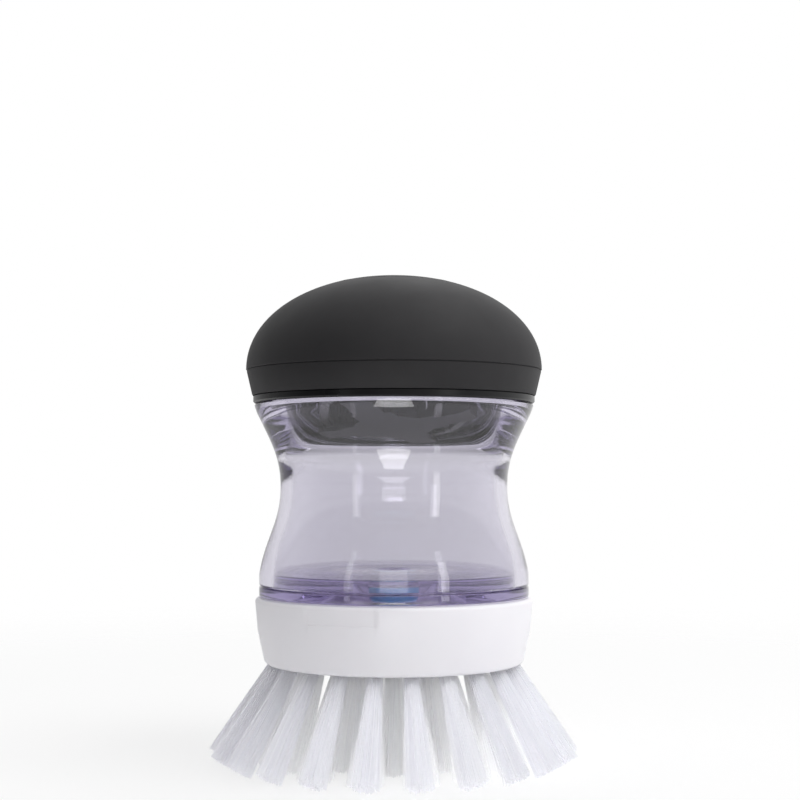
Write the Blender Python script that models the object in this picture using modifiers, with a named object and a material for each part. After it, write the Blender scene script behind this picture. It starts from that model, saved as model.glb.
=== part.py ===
# Soap-dispensing palm brush, modelled as separate pieces at their real size.
#
# Units are metres and +Z is up. The brush stands on its bristles at z = 0, and the z axis runs
# through the middle of the brush head, the clear reservoir and the domed cap. Every turned piece
# is a profile swept round that axis. A profile is a list of (radius, height) points that runs
# down the outer side and back up the inner side.

import math

import bmesh
import bpy
from mathutils import Matrix, Vector
from mathutils.geometry import interpolate_bezier

# Fits
SEAT_GAP = 0.0003
FIT_GAP = 0.0004
THREAD_GAP = 0.0005
CUT_OVERRUN = 0.0008
WELD_SHARE = 0.01

# Mesh fineness, in steps round a full turn
MAIN_STEPS = 36
SMALL_STEPS = 20
RING_STEPS = 24
SHOWN_CURVE_POINTS = 7
HIDDEN_CURVE_POINTS = 4
SMOOTH_ANGLE_DEG = 35

# Brush head
BRISTLE_HEIGHT = 0.0205
BLOCK_THICKNESS = 0.0076
COLLAR_PROUD = 0.0008
COLLAR_TAPER = 0.0019
COLLAR_BULGE = 0.0004
COLLAR_EDGE = 0.0005
HUB_WALL = 0.0024
SOAP_HOLE_RADIUS = 0.002

# Bristle tufts
PLUG_RADIUS = 0.0013
PLUG_DEPTH = 0.005
PLUG_STAND_OUT = 0.0004
TUFT_HOLE_GAP = 0.00025
TUFT_TIP_RADIUS = 0.00265
STRAND_ROOT_RADIUS = 0.00032
STRAND_TIP_RADIUS = 0.00072
STRANDS_AROUND = 7
STRAND_SIDES = 3
BRISTLE_TRIM = 0.0005
OUTER_RING_MARGIN = 0.0026
RING_STEP = 0.007
OUTER_TUFT_COUNT = 22
MIDDLE_TUFT_COUNT = 14
INNER_TUFT_COUNT = 8
OUTER_SPLAY_DEG = 31.5
MIDDLE_SPLAY_DEG = 20
INNER_SPLAY_DEG = 9

# Clear base plate of the reservoir
FLANGE_RADIUS = 0.0275
PLATE_THICKNESS = 0.0019
SKIRT_INSET = 0.004
SKIRT_WALL = 0.002
SKIRT_DEPTH = 0.0056
SKIRT_EDGE = 0.0006
BOSS_RADIUS = 0.0132
BOSS_TUBE_WALL = 0.0018
LUG_CORE_WALL = 0.0018
BOSS_DROP = 0.0012

# Coarse bayonet between the base plate's boss and the head's hub
LUG_COUNT = 3
LUG_CORE_RADIUS = 0.0112
LUG_DEPTH = 0.0015
LUG_HEIGHT = 0.0013
LUG_ARC_DEG = 30
RIB_HEIGHT = 0.0009
RIB_INSET = 0.0001
BAYONET_LEAD = 0.0113

# Dispensing valve and nozzle
VALVE_RADIUS = 0.0051
VALVE_HEIGHT = 0.0045
VALVE_LIP_HEIGHT = 0.0011
VALVE_WAIST_RADIUS = 0.0042
VALVE_CUP_RADIUS = 0.0024
VALVE_CUP_DEPTH = 0.0034
PORT_RADIUS = 0.0034
NOZZLE_RADIUS = 0.0059
NOZZLE_HEIGHT = 0.0026
NOZZLE_BORE_RADIUS = 0.0018
NOZZLE_EDGE = 0.0004

# Reservoir body
FLANGE_THICKNESS = 0.0023
HANDLE_HEIGHT = 0.0344
WAIST_INSET = 0.0044
WAIST_HEIGHT_SHARE = 0.5
HANDLE_WALL = 0.0022
FOOT_WALL = 0.0026
LIP_FLARE = 0.0012
LIP_EDGE = 0.0005
LIP_LEAN_SHARE = 0.47
FOOT_LEAN_SHARE = 0.06
BEND_ARM_SHARE = 0.4
WEDGE_DEPTH = 0.008
NECK_HEIGHT = 0.0108
NECK_LEDGE = 0.0036
NECK_WALL = 0.0023
NECK_EDGE = 0.0009

# Screw thread between the neck and the cap
THREAD_PITCH = 0.0027
THREAD_DEPTH = 0.0013
RIDGE_HEIGHT = 0.0011
RIDGE_CREST_SHARE = 0.6
RIDGE_START = 0.0011
RIDGE_TURNS = 2.5
CAP_THREAD_TURNS = 2
RUN_OUT_SHARES = (0.3, 0.65)

# Cap shell and soft cover
SHELL_WALL = 0.0011
RIM_THICKNESS = 0.0012
RIM_PROUD = 0.0002
CEILING_THICKNESS = 0.0016
BAND_HEIGHT = 0.0068
COVER_WALL = 0.0021
COVER_RIM_WALL = 0.0008
SEAM_STEP = 0.0002
DOME_RISE = 0.0118
DOME_FULLNESS = 2.08
GUIDE_RADIUS = 0.016
GUIDE_WALL = 0.002
GUIDE_RIM_LIFT = 0.0025
GASKET_THICKNESS = 0.0017

# Button, piston, spring and guard inside the cap
BUTTON_RADIUS = 0.0114
BUTTON_EDGE = 0.0005
BUTTON_FLANGE_HEIGHT = 0.0015
STEM_RADIUS = 0.0043
SOCKET_WALL = 0.0015
SOCKET_DEPTH = 0.003
PISTON_BODY_HEIGHT = 0.0032
PISTON_LEVEL_SHARE = 0.53
GROOVE_HEIGHT = 0.0016
GROOVE_DEPTH = 0.0014
SPRING_RADIUS = 0.0068
SPRING_WIRE_RADIUS = 0.00045
SPRING_CURLS = 5
POINTS_PER_CURL = 9
SPRING_BOSS_HEIGHT = 0.0012
GUARD_THICKNESS = 0.0012
GUARD_HUB_RADIUS = 0.0086
GUARD_REACH = 0.0016
GUARD_ARM_WIDTH = 0.0062
GUARD_STEP_WIDTH = 0.0088
GUARD_STEP_REACH = 0.0024
GUARD_TURN_DEG = 65
GUARD_ARM_COUNT = 4
CLIP_HEIGHT = 0.0024

# Levels, from the bristle ends up
block_bottom = BRISTLE_HEIGHT
well_floor = block_bottom + BLOCK_THICKNESS
collar_top = well_floor + SKIRT_DEPTH
plate_bottom = collar_top + SEAT_GAP
skirt_bottom = plate_bottom - SKIRT_DEPTH
plate_top = plate_bottom + PLATE_THICKNESS
boss_bottom = plate_bottom - BOSS_DROP
body_bottom = plate_top + SEAT_GAP
flange_top = body_bottom + FLANGE_THICKNESS
floor_level = flange_top
lip_level = flange_top + HANDLE_HEIGHT
waist_level = flange_top + HANDLE_HEIGHT * WAIST_HEIGHT_SHARE
neck_top = lip_level + NECK_HEIGHT
cap_rim = lip_level + SEAT_GAP
seam_level = cap_rim + BAND_HEIGHT
gasket_bottom = neck_top + SEAT_GAP
gasket_top = gasket_bottom + GASKET_THICKNESS
ceiling_bottom = gasket_top + SEAT_GAP
ceiling_top = ceiling_bottom + CEILING_THICKNESS
dome_top = ceiling_top + DOME_RISE
guide_bottom = cap_rim + GUIDE_RIM_LIFT
guard_top = guide_bottom - SEAT_GAP
guard_bottom = guard_top - GUARD_THICKNESS

# The lugs turn under the hub's ribs, and both climb by the bayonet's lead
hub_top = boss_bottom - SEAT_GAP
lug_climb = BAYONET_LEAD * LUG_ARC_DEG / 360
rib_level = hub_top - RIB_INSET - (lug_climb + RIB_HEIGHT) / 2
lug_level = rib_level - SEAT_GAP - (RIB_HEIGHT + LUG_HEIGHT) / 2
core_bottom = lug_level - (lug_climb + LUG_HEIGHT) / 2 - RIB_INSET
valve_top = plate_top - SEAT_GAP
valve_bottom = valve_top - VALVE_HEIGHT
nozzle_shoulder = core_bottom - SEAT_GAP
nozzle_bottom = nozzle_shoulder - NOZZLE_HEIGHT
nozzle_seat = nozzle_bottom - SEAT_GAP

# The head's collar, the skirt, the handle, the neck and the cap's rim follow the flange
collar_top_radius = FLANGE_RADIUS + COLLAR_PROUD
collar_bottom_radius = collar_top_radius - COLLAR_TAPER
skirt_radius = FLANGE_RADIUS - SKIRT_INSET
waist_radius = FLANGE_RADIUS - WAIST_INSET
lip_radius = FLANGE_RADIUS + LIP_FLARE
neck_radius = lip_radius - NECK_LEDGE
rim_radius = lip_radius + RIM_PROUD

# Radii that follow from the pieces they fit
well_radius = skirt_radius + FIT_GAP
hub_bore_radius = LUG_CORE_RADIUS + LUG_DEPTH + FIT_GAP
hub_radius = hub_bore_radius + HUB_WALL
nozzle_well_radius = NOZZLE_RADIUS + FIT_GAP
valve_bore_radius = VALVE_RADIUS + FIT_GAP
floor_radius = FLANGE_RADIUS - FOOT_WALL - FIT_GAP
boss_tube_radius = valve_bore_radius + BOSS_TUBE_WALL
lug_core_bore_radius = LUG_CORE_RADIUS - LUG_CORE_WALL
neck_bore_radius = neck_radius - NECK_WALL
thread_radius = neck_radius + THREAD_DEPTH
cap_bore_radius = thread_radius + THREAD_GAP
shell_radius = cap_bore_radius + SHELL_WALL
cover_bore_radius = shell_radius + SEAT_GAP
seam_radius = cover_bore_radius + COVER_WALL
guide_bore_radius = GUIDE_RADIUS - GUIDE_WALL
piston_radius = guide_bore_radius - FIT_GAP
groove_radius = piston_radius - GROOVE_DEPTH
button_opening_radius = BUTTON_RADIUS + FIT_GAP
socket_bore_radius = STEM_RADIUS + FIT_GAP
guard_arm_radius = GUIDE_RADIUS + GUARD_REACH
spring_boss_radius = SPRING_RADIUS - SPRING_WIRE_RADIUS - FIT_GAP
outer_tuft_ring = collar_bottom_radius - OUTER_RING_MARGIN
middle_tuft_ring = outer_tuft_ring - RING_STEP
inner_tuft_ring = middle_tuft_ring - RING_STEP
tuft_hole_radius = PLUG_RADIUS + TUFT_HOLE_GAP

# The dome, its inside and the shell under it are one shape with three sizes
dome_height = dome_top - seam_level
dome_outside = (seam_radius, dome_height)
dome_inside = (cover_bore_radius, dome_height - COVER_WALL)
dome_backing = (shell_radius, dome_height - COVER_WALL - SEAT_GAP)


def dome_height_at(radius, dome):
    """Height of a dome above the seam, at a distance from the axis."""
    dome_radius, rise = dome
    share = max(0, 1 - (radius / dome_radius) ** DOME_FULLNESS)
    return seam_level + rise * share ** (1 / DOME_FULLNESS)


def dome_radius_at(level, dome):
    """Distance of a dome's surface from the axis, at a height."""
    dome_radius, rise = dome
    share = 1 - ((level - seam_level) / rise) ** DOME_FULLNESS
    return dome_radius * share ** (1 / DOME_FULLNESS)


def dome_arc(start_radius, end_level, dome, count):
    """Points down a dome from a radius near its top to a level near its seam."""
    dome_radius, rise = dome
    first = math.acos(min(1, (start_radius / dome_radius) ** (DOME_FULLNESS / 2)))
    last = math.asin(min(1, ((end_level - seam_level) / rise) ** (DOME_FULLNESS / 2)))
    points = []
    for step in range(count + 1):
        angle = first + (last - first) * step / count
        radius = dome_radius * math.cos(angle) ** (2 / DOME_FULLNESS)
        level = seam_level + rise * math.sin(angle) ** (2 / DOME_FULLNESS)
        points.append((radius, level))
    return points


def bend(top, top_lean, bottom, bottom_lean, count):
    """Points of a smooth curve from top to bottom. A lean is sideways run per height."""
    arm = (top[1] - bottom[1]) * BEND_ARM_SHARE
    handles = (
        Vector((*top, 0)),
        Vector((top[0] - top_lean * arm, top[1] - arm, 0)),
        Vector((bottom[0] + bottom_lean * arm, bottom[1] + arm, 0)),
        Vector((*bottom, 0)),
    )
    return [(point.x, point.y) for point in interpolate_bezier(*handles, count)]


def new_object(name, data, collection):
    """A new object for some data, linked to a collection."""
    obj = bpy.data.objects.new(name, data)
    collection.objects.link(obj)
    return obj


def as_guide(obj):
    """Marks an object as a cutter or guide, which isn't part of the brush."""
    obj.display_type = "WIRE"
    obj.hide_render = True


def turned(name, profile, collection, steps, closed=True):
    """Sweeps a profile round the z axis. An open profile starts and ends on the axis."""
    mesh = bpy.data.meshes.new(name)
    points = [(radius, 0, level) for radius, level in profile]
    edges = [(index, index + 1) for index in range(len(points) - 1)]
    if closed:
        edges.append((len(points) - 1, 0))
    mesh.from_pydata(points, edges, [])
    obj = new_object(name, mesh, collection)
    screw = obj.modifiers.new("Sweep", "SCREW")
    screw.steps = steps
    screw.render_steps = steps
    screw.use_merge_vertices = True
    screw.merge_threshold = SEAT_GAP * WELD_SHARE
    screw.use_smooth_shade = True
    return obj


def helical_rib(name, section, lead, arc_deg, middle_level, collection, turn_deg=0, run_out=()):
    """A rib whose section climbs round the z axis, with its middle at a level.

    The section lists (radius, height) corners, its foot first and last. The run out gives the
    shares of the rib's depth at the stations nearest to both ends.
    """
    steps = max(2, round(MAIN_STEPS * arc_deg / 360))
    climb = lead * arc_deg / 360
    foot = section[0][0]
    shape = bmesh.new()
    rings = []
    for step in range(steps + 1):
        depth = 1
        from_end = min(step, steps - step)
        if from_end < len(run_out):
            depth = run_out[from_end]
        angle = math.radians(turn_deg + arc_deg * (step / steps - 0.5))
        lift = middle_level + climb * (step / steps - 0.5)
        ring = []
        for radius, height in section:
            reach = foot + (radius - foot) * depth
            place = (reach * math.cos(angle), reach * math.sin(angle), lift + height)
            ring.append(shape.verts.new(place))
        rings.append(ring)
    corners = len(section)
    for before, after in zip(rings, rings[1:]):
        for index in range(corners):
            following = (index + 1) % corners
            shape.faces.new((before[index], before[following], after[following], after[index]))
    shape.faces.new(rings[0])
    shape.faces.new(rings[-1])
    bmesh.ops.recalc_face_normals(shape, faces=shape.faces)
    mesh = bpy.data.meshes.new(name)
    shape.to_mesh(mesh)
    shape.free()
    rib = new_object(name, mesh, collection)
    as_guide(rib)
    return rib


def combine(obj, tool, operation):
    """Adds a Boolean modifier that joins a tool to an object or cuts it out."""
    boolean = obj.modifiers.new(tool.name, "BOOLEAN")
    boolean.operation = operation
    boolean.solver = "EXACT"
    boolean.object = tool


def evaluated_mesh(obj, name):
    """The object's mesh as its modifiers leave it, with flat parts sharp and round ones smooth."""
    graph = bpy.context.evaluated_depsgraph_get()
    mesh = bpy.data.meshes.new_from_object(obj.evaluated_get(graph))
    mesh.name = name
    mesh.shade_smooth()
    mesh.set_sharp_from_angle(angle=math.radians(SMOOTH_ANGLE_DEG))
    return mesh


def finish(obj, material):
    """Fixes the modifiers into the mesh and gives the piece its material."""
    mesh = evaluated_mesh(obj, obj.name)
    obj.modifiers.clear()
    obj.data = mesh
    obj.data.materials.clear()
    obj.data.materials.append(material)


def plastic(name, colour, roughness, transmission=0, metallic=0):
    """A Principled material for one piece."""
    material = bpy.data.materials.new(name)
    material.use_nodes = True
    shader = material.node_tree.nodes["Principled BSDF"]
    shader.inputs["Base Color"].default_value = (*colour, 1)
    shader.inputs["Roughness"].default_value = roughness
    shader.inputs["Transmission Weight"].default_value = transmission
    shader.inputs["Metallic"].default_value = metallic
    material.diffuse_color = (*colour, 1)
    return material


def tuft_axis(splay_deg):
    """The direction in which a tuft at angle zero grows, down and outwards."""
    splay = math.radians(splay_deg)
    return Vector((math.sin(splay), 0, -math.cos(splay)))


def rod(shape, start, end, start_radius, end_radius, sides):
    """Adds a straight tapered rod to a mesh in the making."""
    run = end - start
    turn = run.to_track_quat("Z", "Y").to_matrix().to_4x4()
    place = Matrix.Translation((start + end) / 2) @ turn
    bmesh.ops.create_cone(
        shape, cap_ends=True, segments=sides, depth=run.length, matrix=place,
        radius1=start_radius, radius2=end_radius,
    )


def tuft_mesh(name, ring_radius, splay_deg, square_cut, guides):
    """One tuft at angle zero: a plug of backing with fanned strands joined to it.

    A square cut leaves the ends square to the tuft, just clear of the floor. Otherwise the
    strands run below the floor by the trim and are cut off flat at z = 0.
    """
    axis = tuft_axis(splay_deg)
    across = Vector((-axis.z, 0, axis.x))
    side = Vector((0, 1, 0))
    mouth = Vector((ring_radius, 0, block_bottom))
    plug_end = mouth + axis * PLUG_STAND_OUT
    lean = TUFT_TIP_RADIUS * abs(axis.x)
    if square_cut:
        length = (block_bottom - SEAT_GAP - lean) / -axis.z
    else:
        length = (block_bottom + BRISTLE_TRIM + lean) / -axis.z
    fan_foot = plug_end - axis * CUT_OVERRUN
    fan_end = mouth + axis * length
    foot_spread = PLUG_RADIUS * math.cos(math.pi / STRANDS_AROUND) - STRAND_ROOT_RADIUS
    end_spread = TUFT_TIP_RADIUS - STRAND_TIP_RADIUS

    shape = bmesh.new()
    rod(shape, fan_foot, fan_end, STRAND_ROOT_RADIUS, STRAND_TIP_RADIUS, STRAND_SIDES)
    for strand in range(STRANDS_AROUND):
        angle = math.tau * strand / STRANDS_AROUND
        spoke = across * math.cos(angle) + side * math.sin(angle)
        start = fan_foot + spoke * foot_spread
        end = fan_end + spoke * end_spread
        rod(shape, start, end, STRAND_ROOT_RADIUS, STRAND_TIP_RADIUS, STRAND_SIDES)
    if not square_cut:
        everything = shape.verts[:] + shape.edges[:] + shape.faces[:]
        bmesh.ops.bisect_plane(
            shape, geom=everything, plane_co=(0, 0, 0), plane_no=(0, 0, -1), clear_outer=True,
        )
        rims = [edge for edge in shape.edges if edge.is_boundary]
        bmesh.ops.edgeloop_fill(shape, edges=rims)
        bmesh.ops.recalc_face_normals(shape, faces=shape.faces)
    strands_mesh = bpy.data.meshes.new(name + "_strands")
    shape.to_mesh(strands_mesh)
    shape.free()
    strands = new_object(name + "_strands", strands_mesh, guides)
    as_guide(strands)

    shape = bmesh.new()
    rod(shape, mouth - axis * PLUG_DEPTH, plug_end, PLUG_RADIUS, PLUG_RADIUS, STRANDS_AROUND)
    plug_mesh = bpy.data.meshes.new(name + "_plug")
    shape.to_mesh(plug_mesh)
    shape.free()
    plug = new_object(name + "_plug", plug_mesh, guides)
    as_guide(plug)
    combine(plug, strands, "UNION")
    return evaluated_mesh(plug, name)


def tuft_rings():
    """Each ring of tufts: name, count, radius at the block, splay and whether it is cut square."""
    return (
        ("outer_tuft", OUTER_TUFT_COUNT, outer_tuft_ring, OUTER_SPLAY_DEG, True),
        ("middle_tuft", MIDDLE_TUFT_COUNT, middle_tuft_ring, MIDDLE_SPLAY_DEG, False),
        ("inner_tuft", INNER_TUFT_COUNT, inner_tuft_ring, INNER_SPLAY_DEG, False),
    )


def make_tufts(parts, guides, material):
    """Every tuft of the three rings, as its own object."""
    for ring_name, count, radius, splay_deg, square_cut in tuft_rings():
        mesh = tuft_mesh(ring_name, radius, splay_deg, square_cut, guides)
        mesh.materials.clear()
        mesh.materials.append(material)
        for index in range(count):
            tuft = new_object(f"{ring_name}_{index + 1:02d}", mesh, parts)
            tuft.rotation_euler.z = math.tau * index / count


def tuft_hole_cutter(guides):
    """One mesh of blind holes for all the tufts' plugs."""
    shape = bmesh.new()
    for _, count, radius, splay_deg, _ in tuft_rings():
        axis = tuft_axis(splay_deg)
        mouth = Vector((radius, 0, block_bottom))
        floor = mouth - axis * (PLUG_DEPTH + SEAT_GAP)
        outside = mouth + axis * (CUT_OVERRUN + tuft_hole_radius * abs(axis.x))
        for index in range(count):
            turn = Matrix.Rotation(math.tau * index / count, 3, "Z")
            rod(shape, turn @ floor, turn @ outside, tuft_hole_radius, tuft_hole_radius,
                STRANDS_AROUND)
    mesh = bpy.data.meshes.new("tuft_holes")
    shape.to_mesh(mesh)
    shape.free()
    cutter = new_object("tuft_holes", mesh, guides)
    as_guide(cutter)
    return cutter


def bayonet_ribs(name, foot_radius, crest_radius, height, level, turn_deg, guides):
    """The three coarse ribs of one half of the bayonet."""
    ribs = []
    inwards = crest_radius < foot_radius
    foot = foot_radius + (CUT_OVERRUN if inwards else -CUT_OVERRUN)
    half = height / 2
    section = [(foot, -half), (crest_radius, -half), (crest_radius, half), (foot, half)]
    for index in range(LUG_COUNT):
        turn = turn_deg + 360 * index / LUG_COUNT
        rib_name = f"{name}_{index + 1}"
        rib = helical_rib(rib_name, section, BAYONET_LEAD, LUG_ARC_DEG, level, guides, turn)
        ribs.append(rib)
    return ribs


def make_head_block(parts, guides, material):
    """The white block: collar, well for the skirt, hub with ribs, soap hole and tuft holes."""
    collar_middle = (block_bottom + collar_top) / 2
    side_radius = (collar_top_radius + collar_bottom_radius) / 2 + COLLAR_BULGE
    profile = [
        (collar_top_radius - COLLAR_EDGE, collar_top),
        (collar_top_radius, collar_top - COLLAR_EDGE),
        (side_radius, collar_middle),
        (collar_bottom_radius, block_bottom + COLLAR_EDGE),
        (collar_bottom_radius - COLLAR_EDGE, block_bottom),
        (SOAP_HOLE_RADIUS, block_bottom),
        (SOAP_HOLE_RADIUS, nozzle_seat),
        (nozzle_well_radius, nozzle_seat),
        (nozzle_well_radius, well_floor),
        (hub_bore_radius, well_floor),
        (hub_bore_radius, hub_top),
        (hub_radius, hub_top),
        (hub_radius, well_floor),
        (well_radius, well_floor),
        (well_radius, collar_top),
    ]
    block = turned("head_block", profile, parts, MAIN_STEPS)
    crest = LUG_CORE_RADIUS + FIT_GAP
    ribs = bayonet_ribs("hub_rib", hub_bore_radius, crest, RIB_HEIGHT, rib_level, 0, guides)
    for rib in ribs:
        combine(block, rib, "UNION")
    combine(block, tuft_hole_cutter(guides), "DIFFERENCE")
    finish(block, material)


def make_base_plate(parts, guides, material):
    """The reservoir's welded floor with its skirt, its hollow boss and the bayonet lugs."""
    skirt_bore = skirt_radius - SKIRT_WALL
    profile = [
        (floor_radius, floor_level),
        (floor_radius, plate_top),
        (FLANGE_RADIUS, plate_top),
        (FLANGE_RADIUS, plate_bottom),
        (skirt_radius, plate_bottom),
        (skirt_radius, skirt_bottom + SKIRT_EDGE),
        (skirt_radius - SKIRT_EDGE, skirt_bottom),
        (skirt_bore, skirt_bottom),
        (skirt_bore, plate_bottom),
        (BOSS_RADIUS, plate_bottom),
        (BOSS_RADIUS, boss_bottom),
        (LUG_CORE_RADIUS, boss_bottom),
        (LUG_CORE_RADIUS, core_bottom),
        (lug_core_bore_radius, core_bottom),
        (lug_core_bore_radius, plate_bottom),
        (boss_tube_radius, plate_bottom),
        (boss_tube_radius, core_bottom),
        (valve_bore_radius, core_bottom),
        (valve_bore_radius, plate_top),
        (PORT_RADIUS, plate_top),
        (PORT_RADIUS, floor_level),
    ]
    plate = turned("base_plate", profile, parts, MAIN_STEPS)
    crest = LUG_CORE_RADIUS + LUG_DEPTH
    lugs = bayonet_ribs("lug", LUG_CORE_RADIUS, crest, LUG_HEIGHT, lug_level, 0, guides)
    for lug in lugs:
        combine(plate, lug, "UNION")
    finish(plate, material)


def make_valve(parts, material):
    """The blue silicone valve: two lips with a waist between them and a cup in the top."""
    profile = [
        (VALVE_RADIUS, valve_top),
        (VALVE_RADIUS, valve_top - VALVE_LIP_HEIGHT),
        (VALVE_WAIST_RADIUS, valve_top - VALVE_LIP_HEIGHT),
        (VALVE_WAIST_RADIUS, valve_bottom + VALVE_LIP_HEIGHT),
        (VALVE_RADIUS, valve_bottom + VALVE_LIP_HEIGHT),
        (VALVE_RADIUS, valve_bottom),
        (0, valve_bottom),
    ]
    cup = [(0, valve_top - VALVE_CUP_DEPTH), (VALVE_CUP_RADIUS, valve_top)]
    valve = turned("dispensing_valve", cup + profile, parts, SMALL_STEPS, closed=False)
    finish(valve, material)


def make_nozzle(parts, material):
    """The clear nozzle that closes the valve's bore from below."""
    spigot_radius = valve_bore_radius - FIT_GAP
    profile = [
        (spigot_radius, valve_bottom - SEAT_GAP),
        (spigot_radius, nozzle_shoulder),
        (NOZZLE_RADIUS, nozzle_shoulder),
        (NOZZLE_RADIUS, nozzle_bottom + NOZZLE_EDGE),
        (NOZZLE_RADIUS - NOZZLE_EDGE, nozzle_bottom),
        (NOZZLE_BORE_RADIUS, nozzle_bottom),
        (NOZZLE_BORE_RADIUS, nozzle_shoulder),
        (VALVE_CUP_RADIUS, valve_bottom - SEAT_GAP),
    ]
    finish(turned("nozzle_cap", profile, parts, SMALL_STEPS), material)


def make_reservoir_body(parts, guides, material):
    """The clear waisted handle with its flared lip and its threaded neck."""
    lip = (lip_radius, lip_level - LIP_EDGE)
    waist = (waist_radius, waist_level)
    foot = (FLANGE_RADIUS, flange_top)
    inner_waist = (waist_radius - HANDLE_WALL, waist_level)
    inner_foot = (FLANGE_RADIUS - FOOT_WALL, body_bottom)
    shoulder = (neck_bore_radius, lip_level - WEDGE_DEPTH)
    outer = bend(lip, LIP_LEAN_SHARE, waist, 0, SHOWN_CURVE_POINTS)
    outer += bend(waist, 0, foot, FOOT_LEAN_SHARE, SHOWN_CURVE_POINTS)[1:]
    inner = bend(shoulder, 0, inner_waist, 0, HIDDEN_CURVE_POINTS)
    inner += bend(inner_waist, 0, inner_foot, FOOT_LEAN_SHARE, SHOWN_CURVE_POINTS)[1:]
    profile = [
        (neck_bore_radius + NECK_EDGE, neck_top),
        (neck_radius - NECK_EDGE, neck_top),
        (neck_radius, neck_top - NECK_EDGE),
        (neck_radius, lip_level),
        (lip_radius - LIP_EDGE, lip_level),
        *outer,
        (FLANGE_RADIUS, body_bottom),
        *reversed(inner),
        (neck_bore_radius, neck_top - NECK_EDGE),
    ]
    body = turned("reservoir_body", profile, parts, MAIN_STEPS)
    foot_half = RIDGE_HEIGHT / 2
    crest_half = foot_half * RIDGE_CREST_SHARE
    embedded = neck_radius - CUT_OVERRUN
    section = [
        (embedded, -foot_half), (thread_radius, -crest_half),
        (thread_radius, crest_half), (embedded, foot_half),
    ]
    climb = THREAD_PITCH * RIDGE_TURNS
    middle = lip_level + RIDGE_START + climb / 2
    turn = 180 * RIDGE_TURNS
    ridge = helical_rib("neck_thread", section, THREAD_PITCH, 360 * RIDGE_TURNS, middle, guides,
                        turn, RUN_OUT_SHARES)
    combine(body, ridge, "UNION")
    finish(body, material)


def make_cap_shell(parts, guides, material):
    """The cap's rigid shell: rim, threaded wall, ceiling and guide tube."""
    rim_top = cap_rim + RIM_THICKNESS
    guide_top = dome_height_at(GUIDE_RADIUS, dome_inside) - SEAT_GAP
    ceiling_radius = dome_radius_at(ceiling_top, dome_backing)
    ceiling_arc = dome_arc(ceiling_radius, seam_level, dome_backing, HIDDEN_CURVE_POINTS)
    profile = [
        (GUIDE_RADIUS, guide_top),
        (GUIDE_RADIUS, ceiling_top),
        *ceiling_arc,
        (shell_radius, rim_top),
        (rim_radius, rim_top),
        (rim_radius, cap_rim),
        (cap_bore_radius, cap_rim),
        (cap_bore_radius, gasket_bottom),
        (neck_radius, gasket_bottom),
        (neck_radius, ceiling_bottom),
        (GUIDE_RADIUS, ceiling_bottom),
        (GUIDE_RADIUS, guide_bottom),
        (guide_bore_radius, guide_bottom),
        (guide_bore_radius, guide_top),
    ]
    shell = turned("cap_shell", profile, parts, MAIN_STEPS)
    height = THREAD_PITCH - RIDGE_HEIGHT - SEAT_GAP * 2
    foot_half = height / 2
    crest_half = foot_half * RIDGE_CREST_SHARE
    embedded = cap_bore_radius + SHELL_WALL / 2
    crest = neck_radius + THREAD_GAP
    section = [
        (embedded, -foot_half), (crest, -crest_half), (crest, crest_half), (embedded, foot_half),
    ]
    climb = THREAD_PITCH * CAP_THREAD_TURNS
    middle = lip_level + RIDGE_START + (THREAD_PITCH + climb) / 2
    turn = 180 * CAP_THREAD_TURNS
    thread = helical_rib("cap_thread", section, THREAD_PITCH, 360 * CAP_THREAD_TURNS, middle,
                         guides, turn, RUN_OUT_SHARES)
    combine(shell, thread, "UNION")
    finish(shell, material)


def make_grip_cover(parts, material):
    """The soft dome over the shell, with a seam above its lower band."""
    outer = dome_arc(button_opening_radius, seam_level, dome_outside, SHOWN_CURVE_POINTS)
    inner = dome_arc(button_opening_radius, seam_level, dome_inside, HIDDEN_CURVE_POINTS)
    cover_bottom = cap_rim + RIM_THICKNESS + SEAT_GAP
    profile = [
        *outer,
        (seam_radius - SEAM_STEP, seam_level - SEAM_STEP),
        (cover_bore_radius + COVER_RIM_WALL, cover_bottom),
        (cover_bore_radius, cover_bottom),
        *reversed(inner),
    ]
    finish(turned("grip_cover", profile, parts, MAIN_STEPS), material)


def button_flange_top():
    """The flange stops under the cover's inner lip, across the whole width of the flange."""
    return dome_height_at(piston_radius, dome_inside) - SEAT_GAP


def piston_bottom_level():
    """The piston hangs a share of the way up the guide tube."""
    underside = button_flange_top() - BUTTON_FLANGE_HEIGHT
    return guard_top + (underside - guard_top) * PISTON_LEVEL_SHARE


def make_push_button(parts, material):
    """The button in the dome's top, with a retaining flange and a socket for the stem."""
    flange_top_level = button_flange_top()
    underside = flange_top_level - BUTTON_FLANGE_HEIGHT
    crown_radii = [
        (BUTTON_RADIUS - BUTTON_EDGE) * step / HIDDEN_CURVE_POINTS
        for step in range(HIDDEN_CURVE_POINTS + 1)
    ]
    crown = [(radius, dome_height_at(radius, dome_outside)) for radius in crown_radii]
    socket_radius = socket_bore_radius + SOCKET_WALL
    profile = [
        *crown,
        (BUTTON_RADIUS, crown[-1][1] - BUTTON_EDGE),
        (BUTTON_RADIUS, flange_top_level),
        (piston_radius, flange_top_level),
        (piston_radius, underside),
        (socket_radius, underside),
        (socket_radius, underside - SOCKET_DEPTH),
        (socket_bore_radius, underside - SOCKET_DEPTH),
        (socket_bore_radius, underside),
        (0, underside),
    ]
    finish(turned("push_button", profile, parts, RING_STEPS, closed=False), material)


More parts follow.
